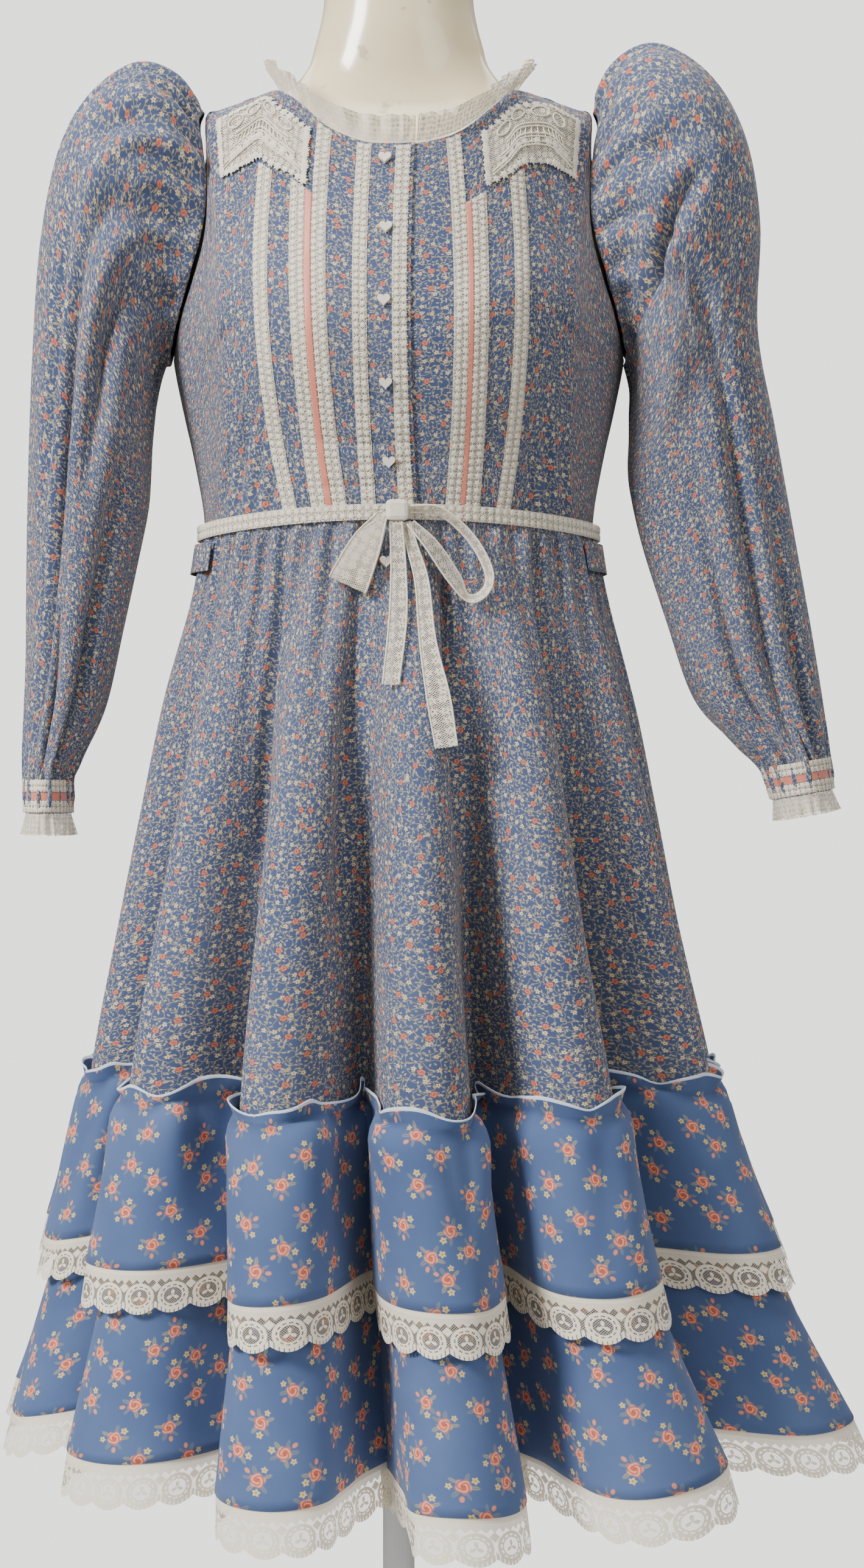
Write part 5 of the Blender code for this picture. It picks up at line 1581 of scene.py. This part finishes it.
# %% Lay the ruffles
RUFFLE_COLUMNS = 780
UPPER_GATHERS = (78, 21, 0.42, 0.0105, 0.080)
UPPER_RUCHING = (104, 22, 0.45, 0.0085, 1.0)
UPPER_SWING = (44, 23, 0.55, 0.0085, 1.0)
LOWER_SWING = (48, 24, 0.55, 0.0105, 1.0)
LOWER_GATHERS = (78, 25, 0.42, 0.0085, 0.12)
HEM_RISE = (40, 51, 0.6, 0.0042, 1.0)
RUCHING_RISE = (92, 52, 0.45, 0.0075, 1.0)
CLEAR_OF_SKIRT = -0.0010
CLEAR_OF_LOWER = -0.0012
UPPER_PRINT = rose_finish("rose_print_upper", HEADING_TOP - UPPER_CLOTH_END - RAW_EDGE)
LOWER_PRINT = rose_finish("rose_print_lower")


def even_uv(grid):
    """A UV map for hem lace, with a whole number of repeats round it."""
    plain = measured(grid, True)
    total = plain[0, -1, 0]
    whole = round(total / HEM_REPEAT) * HEM_REPEAT
    u = np.linspace(0, whole, plain.shape[1])
    v = plain[:, 0, 1] * HEM_DEEP / plain[-1, 0, 1]
    return np.stack(np.broadcast_arrays(u[None, :], v[:, None]), axis=-1)


def edge_rise(around, level, cloth_end, top):
    """How far the free edges rise and fall: the hem gently, the ruched heading sharply."""
    still = np.zeros_like(level)
    hem = gathers(around, still, *HEM_RISE, FOLD_COUNT)
    ruche = gathers(around, still, *RUCHING_RISE, FOLD_COUNT)
    high = np.clip((level - RUFFLE_SEAM) / (HEADING_TOP - RUFFLE_SEAM), 0, 1)
    low = np.clip((top - level) / (top - cloth_end), 0, 1) ** 2
    return hem * low + ruche * high


def fine_ruffle(name, finish, levels, cloth_end, flares, gaps, moved):
    around = (np.arange(RUFFLE_COLUMNS) + 0.5) * FOLD_COUNT / RUFFLE_COLUMNS
    grid = skirt_point(around[None, :], levels[:, None], flares[:, None])
    grid = moved_out(grid, gaps[:, None] + moved(around[None, :], levels[:, None]), wrap=True)
    grid[..., 2] += edge_rise(around[None, :], levels[:, None], cloth_end, levels[-1])
    split = int(np.searchsorted(levels, cloth_end))
    cloth_part, lace_part = grid[split:], grid[: split + 1]
    uv = measured(cloth_part, True)
    made = sheet_piece(f"cloth_{name}", cloth_part, finish, uv, wrap=True, thickness=THIN)
    declare_sheet(made, cloth_part, True)
    dress_with(made, "rose_print", name)
    lace = sheet_piece(f"hem_{name}", lace_part, HEM_LACE, even_uv(lace_part), wrap=True)
    declare_sheet(lace, lace_part, True)
    dress_with(lace, "lace", f"{name}_lace")


def upper_moved(around, level):
    """Gathers down from the seam, the heading's ruching above it, and a hem that swings."""
    below = np.maximum(RUFFLE_SEAM - level, 0)
    above = np.clip((level - RUFFLE_SEAM) / (HEADING_TOP - RUFFLE_SEAM), 0, 1)
    drawn = gathers(around, below, *UPPER_GATHERS, FOLD_COUNT)
    ruched = gathers(around, np.zeros_like(level), *UPPER_RUCHING, FOLD_COUNT)
    swing = gathers(around, np.zeros_like(level), *UPPER_SWING, FOLD_COUNT)
    low = np.clip(below / 0.12, 0, 1) ** 1.2
    # The whole sheet stands off the skirt by as much as its troughs go in
    drawn = drawn + 0.0052 * np.exp(-((below / 0.080) ** 2)) * np.clip(below / 0.012, 0, 1)
    held = np.where(level > RUFFLE_SEAM, 0, drawn) + (swing + 0.0035) * low + (ruched + 0.0030) * above
    return np.maximum(held, CLEAR_OF_SKIRT)


def lower_moved(around, level):
    below = np.maximum(0.455 - level, 0)
    swing = gathers(around, np.zeros_like(level), *LOWER_SWING, FOLD_COUNT)
    fine = gathers(around, np.maximum(0.47 - level, 0), *LOWER_GATHERS, FOLD_COUNT)
    share = np.clip(below / 0.12, 0, 1) ** 1.2
    return np.maximum((swing + fine + 0.0075) * share, CLEAR_OF_LOWER)


upper_levels = np.concatenate([np.linspace(UPPER_LACE_END, UPPER_CLOTH_END, 7)[:-1],
                               np.linspace(UPPER_CLOTH_END, RUFFLE_SEAM, 17)[:-1],
                               np.linspace(RUFFLE_SEAM, HEADING_TOP, 6)])
upper_flares = flare_at(upper_levels, RUFFLE_SEAM, UPPER_LACE_END, UPPER_FLARE)
heading = np.clip((upper_levels - RUFFLE_SEAM) / (HEADING_TOP - RUFFLE_SEAM), 0, 1)
upper_flares = np.where(upper_levels > RUFFLE_SEAM, HEADING_FLARE * heading, upper_flares)
upper_gaps = np.interp(upper_levels, UPPER_ROWS["height"], UPPER_ROWS["gap"])
fine_ruffle("ruffle_upper", UPPER_PRINT, upper_levels, UPPER_CLOTH_END, upper_flares, upper_gaps,
            upper_moved)

lower_levels = np.concatenate([np.linspace(LOWER_LACE_END, LOWER_CLOTH_END, 7)[:-1],
                               np.linspace(LOWER_CLOTH_END, LOWER_TOP, 24)])
lower_flares = flare_at(lower_levels, LOWER_TOP, LOWER_LACE_END, LOWER_FLARE)
lower_gaps = np.full(len(lower_levels), LOWER_GAP)
fine_ruffle("ruffle_lower", LOWER_PRINT, lower_levels, LOWER_CLOTH_END, lower_flares, lower_gaps,
            lower_moved)

# %% [markdown]
# ## The neck frill and the belt
# The frill stands up from the neckline in tight, uneven gathers that open towards its edge. The
# belt is the daisy tape again, run round the waist.

# %% Lay the neck frill and belt
NECK_FRILL_HEIGHT = 0.019
NECK_FRILL_STEPS = 52
NECK_FRILL_FLARE = 0.0085
NECK_FRILL_LIFT = 0.0018
NECK_EASE = 0.125
NECK_LAP = 0.002
BELT_HEIGHT = 0.012
BELT_OUT = 0.0064
BELT_ABOVE_SEAM = 0.001
FRILL_COLUMNS, FRILL_ROWS = 620, 12
FRILL_FINE_WAVES = (96, 41, 0.5, 0.0060, 1.0)
FRILL_SLOW_WAVES = (26, 42, 0.6, 0.0045, 1.0)


def neck_edge():
    """Points along the neckline, from the placket edge round by the left, back and right."""
    reach = FRONT_NECK["out"][-1]
    placket = TAPES[4][1] + TAPE_WIDTH / 2 + PLACKET_EDGE
    points = []
    for share in np.linspace(0, 1, NECK_FRILL_STEPS + 1):
        sweep = share * 2 * np.pi
        front = math.cos(sweep) > 0
        out = -reach * math.sin(sweep)
        # Both ends ease over to the placket, with the lapped-over end just past it
        ease = min(1.0, min(share, 1 - share) / NECK_EASE)
        start = placket if share < 0.5 else placket + NECK_LAP
        out = start + (out - start) * ease
        height = neck_height(out, front)
        width = float(smooth(BODY, "half_width", height))
        turn = math.asin(max(-1.0, min(1.0, out / width)))
        points.append(body_point(turn if front else math.pi - turn, height))
    return np.array(points)


def belt_point(angle, up, out):
    x = (WAIST_HALF_WIDTH + out) * np.sin(angle)
    y = -(WAIST_FRONT + out) * np.cos(angle)
    return np.stack([x, y, waist_seam(angle) + BELT_ABOVE_SEAM + up], axis=-1)


def fine_neck_frill():
    edge = eased(neck_edge(), np.linspace(0, NECK_FRILL_STEPS, FRILL_COLUMNS))
    away = edge * np.array([1.0, 1.0, 0.0])
    away /= np.linalg.norm(away, axis=1, keepdims=True)
    up = np.array([0.0, 0.0, 1.0])
    base = edge + (up + away) * NECK_FRILL_LIFT
    share = np.linspace(0, 1, FRILL_ROWS)[:, None]
    round_it = np.linspace(0, 1, FRILL_COLUMNS)[None, :]
    still = np.zeros((FRILL_ROWS, 1))
    wave = gathers(round_it, still, *FRILL_FINE_WAVES) * share
    slow = gathers(round_it, still, *FRILL_SLOW_WAVES) * share**1.5
    rise = NECK_FRILL_HEIGHT * (1 + 6 * slow) * share
    lean = NECK_FRILL_FLARE * share**1.2 + wave + slow
    grid = base[None] + up * rise[..., None] + away[None] * lean[..., None]
    grid = grid[:, ::-1]
    made = sheet_piece("frill_neck", grid, FRILL_NET, measured(grid))
    declare_sheet(made, grid, False)
    dress_with(made, "lace", "neck_frill")


fine_neck_frill()
belt_angles = np.linspace(0, 2 * np.pi, 240, endpoint=False)
belt_rows = [belt_point(belt_angles, up, BELT_OUT) for up in np.linspace(-BELT_HEIGHT, BELT_HEIGHT, 5) / 2]
daisy_tape("lace_belt", np.stack(belt_rows), "lace", wrap=True)

# %% [markdown]
# ## Bows and sash
# A bow's loop is a tape along a path off the skirt's face. Its edges get a cord each, as the
# selvedge of a net tape has.

# %% Tape paths
FRONT_FOLDS = (1, 5)
BACK_FOLDS = (7.5, 11.5)
BACK_TIE_REACH = 0.018
TAPE_PATH = "x height out half lie tilt"
BOW_LOOP_LEFT = table(
    TAPE_PATH,
    (-0.0116, 1.0500, 0.0165, 0.0040, -30, 0),
    (-0.0230, 1.0290, 0.0165, 0.0110, -30, 0),
    (-0.0350, 1.0030, 0.0120, 0.0145, -25, 0),
    (-0.0375, 0.9975, 0.0085, 0.0145, -25, 0),
    (-0.0350, 1.0030, 0.0060, 0.0145, -25, 0),
    (-0.0230, 1.0290, 0.0065, 0.0110, -30, 0),
    (-0.0120, 1.0455, 0.0095, 0.0040, -30, 0),
)
BOW_LOOP_RIGHT = table(
    TAPE_PATH,
    (0.0096, 1.0550, 0.0150, 0.0040, 80, 55),
    (0.0330, 1.0530, 0.0140, 0.0055, 80, 60),
    (0.0560, 1.0330, 0.0120, 0.0060, 45, 62),
    (0.0690, 1.0080, 0.0110, 0.0060, 10, 62),
    (0.0660, 0.9930, 0.0105, 0.0060, -40, 62),
    (0.0540, 0.9880, 0.0100, 0.0065, -85, 60),
    (0.0430, 1.0030, 0.0105, 0.0080, -145, 50),
    (0.0260, 1.0280, 0.0120, 0.0080, -150, 50),
    (0.0101, 1.0450, 0.0140, 0.0045, -145, 50),
)
BOW_TAIL_LEFT = table(
    TAPE_PATH,
    (-0.0010, 1.0458, 0.0125, 0.0045, 0, 0),
    (0.0010, 1.0100, 0.0060, 0.0055, 0, 0),
    (0.0005, 0.9700, 0.0070, 0.0065, 0, 0),
    (-0.0045, 0.9220, 0.0095, 0.0060, 0, 0),
)
BOW_TAIL_RIGHT = table(
    TAPE_PATH,
    (0.0068, 1.0458, 0.0105, 0.0026, 10, 0),
    (0.0110, 1.0280, 0.0062, 0.0040, 10, 0),
    (0.0185, 1.0000, 0.0055, 0.0050, 10, 0),
    (0.0230, 0.9550, 0.0060, 0.0060, 8, 0),
    (0.0310, 0.9120, 0.0098, 0.0085, 8, 0),
    (0.0370, 0.8750, 0.0130, 0.0080, 8, 0),
)
SASH_ANGLES = (64, 173)
SASH_EDGES = (1.0130, 1.0355)
SASH_OUT = ON_PANEL + 0.0043
SASH_BEHIND = 0.1262
SASH_LEVEL = 1.0250
SASH_KNOT = (0.022, 0.014, 0.022)
SASH_LOOP = table(
    TAPE_PATH,
    (0.0116, 1.0260, 0.0030, 0.0080, 90, 0),
    (0.0600, 1.0330, 0.0060, 0.0130, 90, 0),
    (0.1150, 1.0400, 0.0030, 0.0140, 90, 0),
    (0.1500, 1.0450, -0.0120, 0.0130, 90, 0),
    (0.1580, 1.0450, -0.0220, 0.0125, 90, 0),
    (0.1500, 1.0450, -0.0320, 0.0130, 90, 0),
    (0.1150, 1.0400, -0.0250, 0.0140, 90, 0),
    (0.0800, 1.0340, -0.0120, 0.0130, 90, 0),
    (0.0120, 1.0260, -0.0035, 0.0080, 90, 0),
)
SASH_LOOP_LEFT_SHARE = 0.86
SASH_LOOP_LEFT_DROP = 0.004
SASH_TAIL = table(
    TAPE_PATH,
    (0.0310, 0.8000, 0.0080, 0.0140, 0, 0),
    (0.0260, 0.8800, 0.0090, 0.0130, 0, 0),
    (0.0150, 0.9600, 0.0100, 0.0110, 0, 0),
    (0.0075, 1.0130, 0.0110, 0.0070, 0, 0),
)
SASH_TAIL_LEFT_SHIFT = 0.002


def front_of_skirt(x, height):
    """How far forward the skirt's face is at a place near the middle front."""
    around = np.linspace(*FRONT_FOLDS, 241)
    points = skirt_point(around, height)
    return float(np.interp(x, points[:, 0], points[:, 1]))


def back_of_skirt(x, height):
    """How far back the skirt's face is at a place near the middle of the back."""
    around = np.linspace(*BACK_FOLDS, 241)
    points = skirt_point(around, height)
    near = np.abs(points[:, 0] - x) < BACK_TIE_REACH
    return float(points[near, 1].max())


def turned_round(path):
    """The same path from its other end, so that the tape faces the other way."""
    return {name: values[::-1] for name, values in path.items()}


def sash_plane(_x, _height):
    return SASH_BEHIND


def skirt_ring_point(angle, height):
    """A point off the skirt's outer face near the waist, where it has no folds yet."""
    width = smooth(SKIRT, "half_width", height) + SASH_OUT
    depth = smooth(SKIRT, "depth", height) + SASH_OUT
    return np.stack([width * np.sin(angle), -depth * np.cos(angle), np.full(angle.shape, height)], axis=-1)


def tape_grid(path, face, facing, rows=7, steps=72):
    """A tape along a path off a face that lies towards facing, -1 in front and 1 behind."""
    lie = np.radians(path["lie"])
    tilt = np.radians(path["tilt"])
    behind = np.array([face(x, height) for x, height in zip(path["x"], path["height"])])
    centre = np.stack([path["x"], behind + facing * path["out"], path["height"]], axis=-1)
    flat = np.cos(tilt)
    across = np.stack([np.cos(lie) * flat, facing * np.sin(tilt), np.sin(lie) * flat], axis=-1)
    reach = across * path["half"][:, None]
    coarse = np.stack([centre - reach, centre + reach], axis=0)
    fine = at_places(coarse, np.linspace(0, 1, rows), np.linspace(0, len(centre) - 1, steps))
    ruck = np.sin(np.linspace(0, np.pi * 5, rows))[:, None] * 0.0006
    ends = 0.3 + 0.7 * np.abs(np.linspace(-1, 1, steps))[None, :]
    return moved_out(fine, ruck * ends)


def net_tape(name, grid):
    last_row, last_column = grid.shape[0] - 1, grid.shape[1] - 1
    columns = np.linspace(0, last_column, 90)
    edges = [cord_on(grid, np.full(90, float(row)), columns, 0.0007, 0.0002) for row in (0, last_row)]
    cords = mesh_piece(f"edges_{name}", *joined_meshes(edges), THREAD)
    made = sheet_piece(f"net_{name}", grid, BOW_NET, measured(grid))
    declare_sheet(made, grid, False)
    dress_with(cords, "lace")
    dress_with(made, "lace", name)


# %% [markdown]
# The belt's bow hangs in front as net tape. The sash has its own bow behind, and its left loop is
# a little smaller than the right one, as tied loops are.

# %% Lay the bows and the sash
for name, path in (
    ("bow_loop_left", turned_round(BOW_LOOP_LEFT)),
    ("bow_loop_right", turned_round(BOW_LOOP_RIGHT)),
    ("bow_tail_left", BOW_TAIL_LEFT),
    ("bow_tail_right", BOW_TAIL_RIGHT),
):
    net_tape(name, tape_grid(path, front_of_skirt, -1))


def calico_tape(name, grid):
    made = sheet_piece(f"cloth_{name}", grid, CALICO, measured(grid), thickness=THIN)
    declare_sheet(made, grid, False)
    dress_with(made, "calico", name)


loop_left = dict(SASH_LOOP)
loop_start = SASH_LOOP["x"][0]
loop_left["x"] = -(loop_start + (SASH_LOOP["x"] - loop_start) * SASH_LOOP_LEFT_SHARE)
loop_left["height"] = SASH_LOOP["height"] - SASH_LOOP_LEFT_DROP
tail_left = dict(SASH_TAIL)
tail_left["x"] = -(SASH_TAIL["x"] + SASH_TAIL_LEFT_SHIFT)
calico_tape("sash_loop_right", tape_grid(turned_round(SASH_LOOP), sash_plane, 1))
calico_tape("sash_loop_left", tape_grid(loop_left, sash_plane, 1))
calico_tape("sash_tail_right", tape_grid(SASH_TAIL, back_of_skirt, 1))
calico_tape("sash_tail_left", tape_grid(tail_left, back_of_skirt, 1))
sash_run = np.radians(np.linspace(*SASH_ANGLES, 90))
for side, run in (("right", sash_run), ("left", -sash_run[::-1])):
    band = np.stack([skirt_ring_point(run, level) for level in np.linspace(*SASH_EDGES, 7)])
    calico_tape(f"sash_{side}", band)

# %% [markdown]
# The knot is a small cushion of cloth where the loops and tails of the sash meet.

# %% Make the sash's knot
bpy.ops.mesh.primitive_uv_sphere_add(segments=40, ring_count=24, location=(0, SASH_BEHIND, SASH_LEVEL))
knot = bpy.context.object
knot.name = "cloth_sash_knot"
knot.scale = [size / 2 for size in SASH_KNOT]
bpy.ops.object.transform_apply(location=True, rotation=False, scale=True)
bpy.ops.object.shade_smooth()
knot_uv = knot.data.uv_layers.active.data
for corner in knot_uv:
    corner.uv = (corner.uv[0] * 0.06, corner.uv[1] * 0.03)
knot.data.materials.append(CALICO)
dress_with(knot, "calico", "sash_knot")

# %% [markdown]
# ## The studio
# A round pale floor carries the stand, with nothing behind it to block a view from the back. The
# world is white to the eye but dimmer as a light. One large soft light stands high at the left front, a
# weaker one at the right, and the pale world fills the rest so that deep folds stay dark.

# %% Floor and lights
FLOOR_RADIUS = 0.9
floor_turns = np.linspace(0, 2 * np.pi, 96, endpoint=False)
floor_points = [(FLOOR_RADIUS * math.cos(a), FLOOR_RADIUS * math.sin(a), 0.0) for a in floor_turns]
floor_faces = [tuple(range(len(floor_points)))]
floor_mesh = bpy.data.meshes.new("floor")
floor_mesh.from_pydata(floor_points, [], floor_faces)
floor = bpy.data.objects.new("floor", floor_mesh)
bpy.context.scene.collection.objects.link(floor)
paper, paper_shader = start_material("pale_paper")
feed(paper_shader, Base_Color=(0.92, 0.92, 0.92, 1.0), Roughness=0.9)
floor_mesh.materials.append(paper)

LIGHTS = (
    ("key", (-2.3, -1.7, 2.4), (58, 0, -54), 0.9, 165),
    ("fill", (1.9, -2.2, 1.7), (66, 0, 41), 1.6, 24),
    ("top", (0.0, -0.4, 3.4), (8, 0, 0), 1.4, 38),
    ("rear", (0.0, 0.8, 3.2), (-70, 0, 0), 2.4, 45),
)
for name, place, turn, size, power in LIGHTS:
    lamp = bpy.data.lights.new(name, "AREA")
    lamp.size = size
    lamp.energy = power
    lit = bpy.data.objects.new(name, lamp)
    lit.location = place
    lit.rotation_euler = [math.radians(angle) for angle in turn]
    bpy.context.scene.collection.objects.link(lit)

world = bpy.data.worlds.new("studio")
bpy.context.scene.world = world
world.use_nodes = True
world.node_tree.nodes["Background"].inputs["Color"].default_value = (1.0, 0.99, 0.97, 1.0)
Wire.tree = world.node_tree
seen = node("LightPath", {}, {}, output="Is Camera Ray")
Wire.tree.links.new((seen * 1.7 + 0.34).socket, world.node_tree.nodes["Background"].inputs["Strength"])
print("lights:", [light[0] for light in LIGHTS])
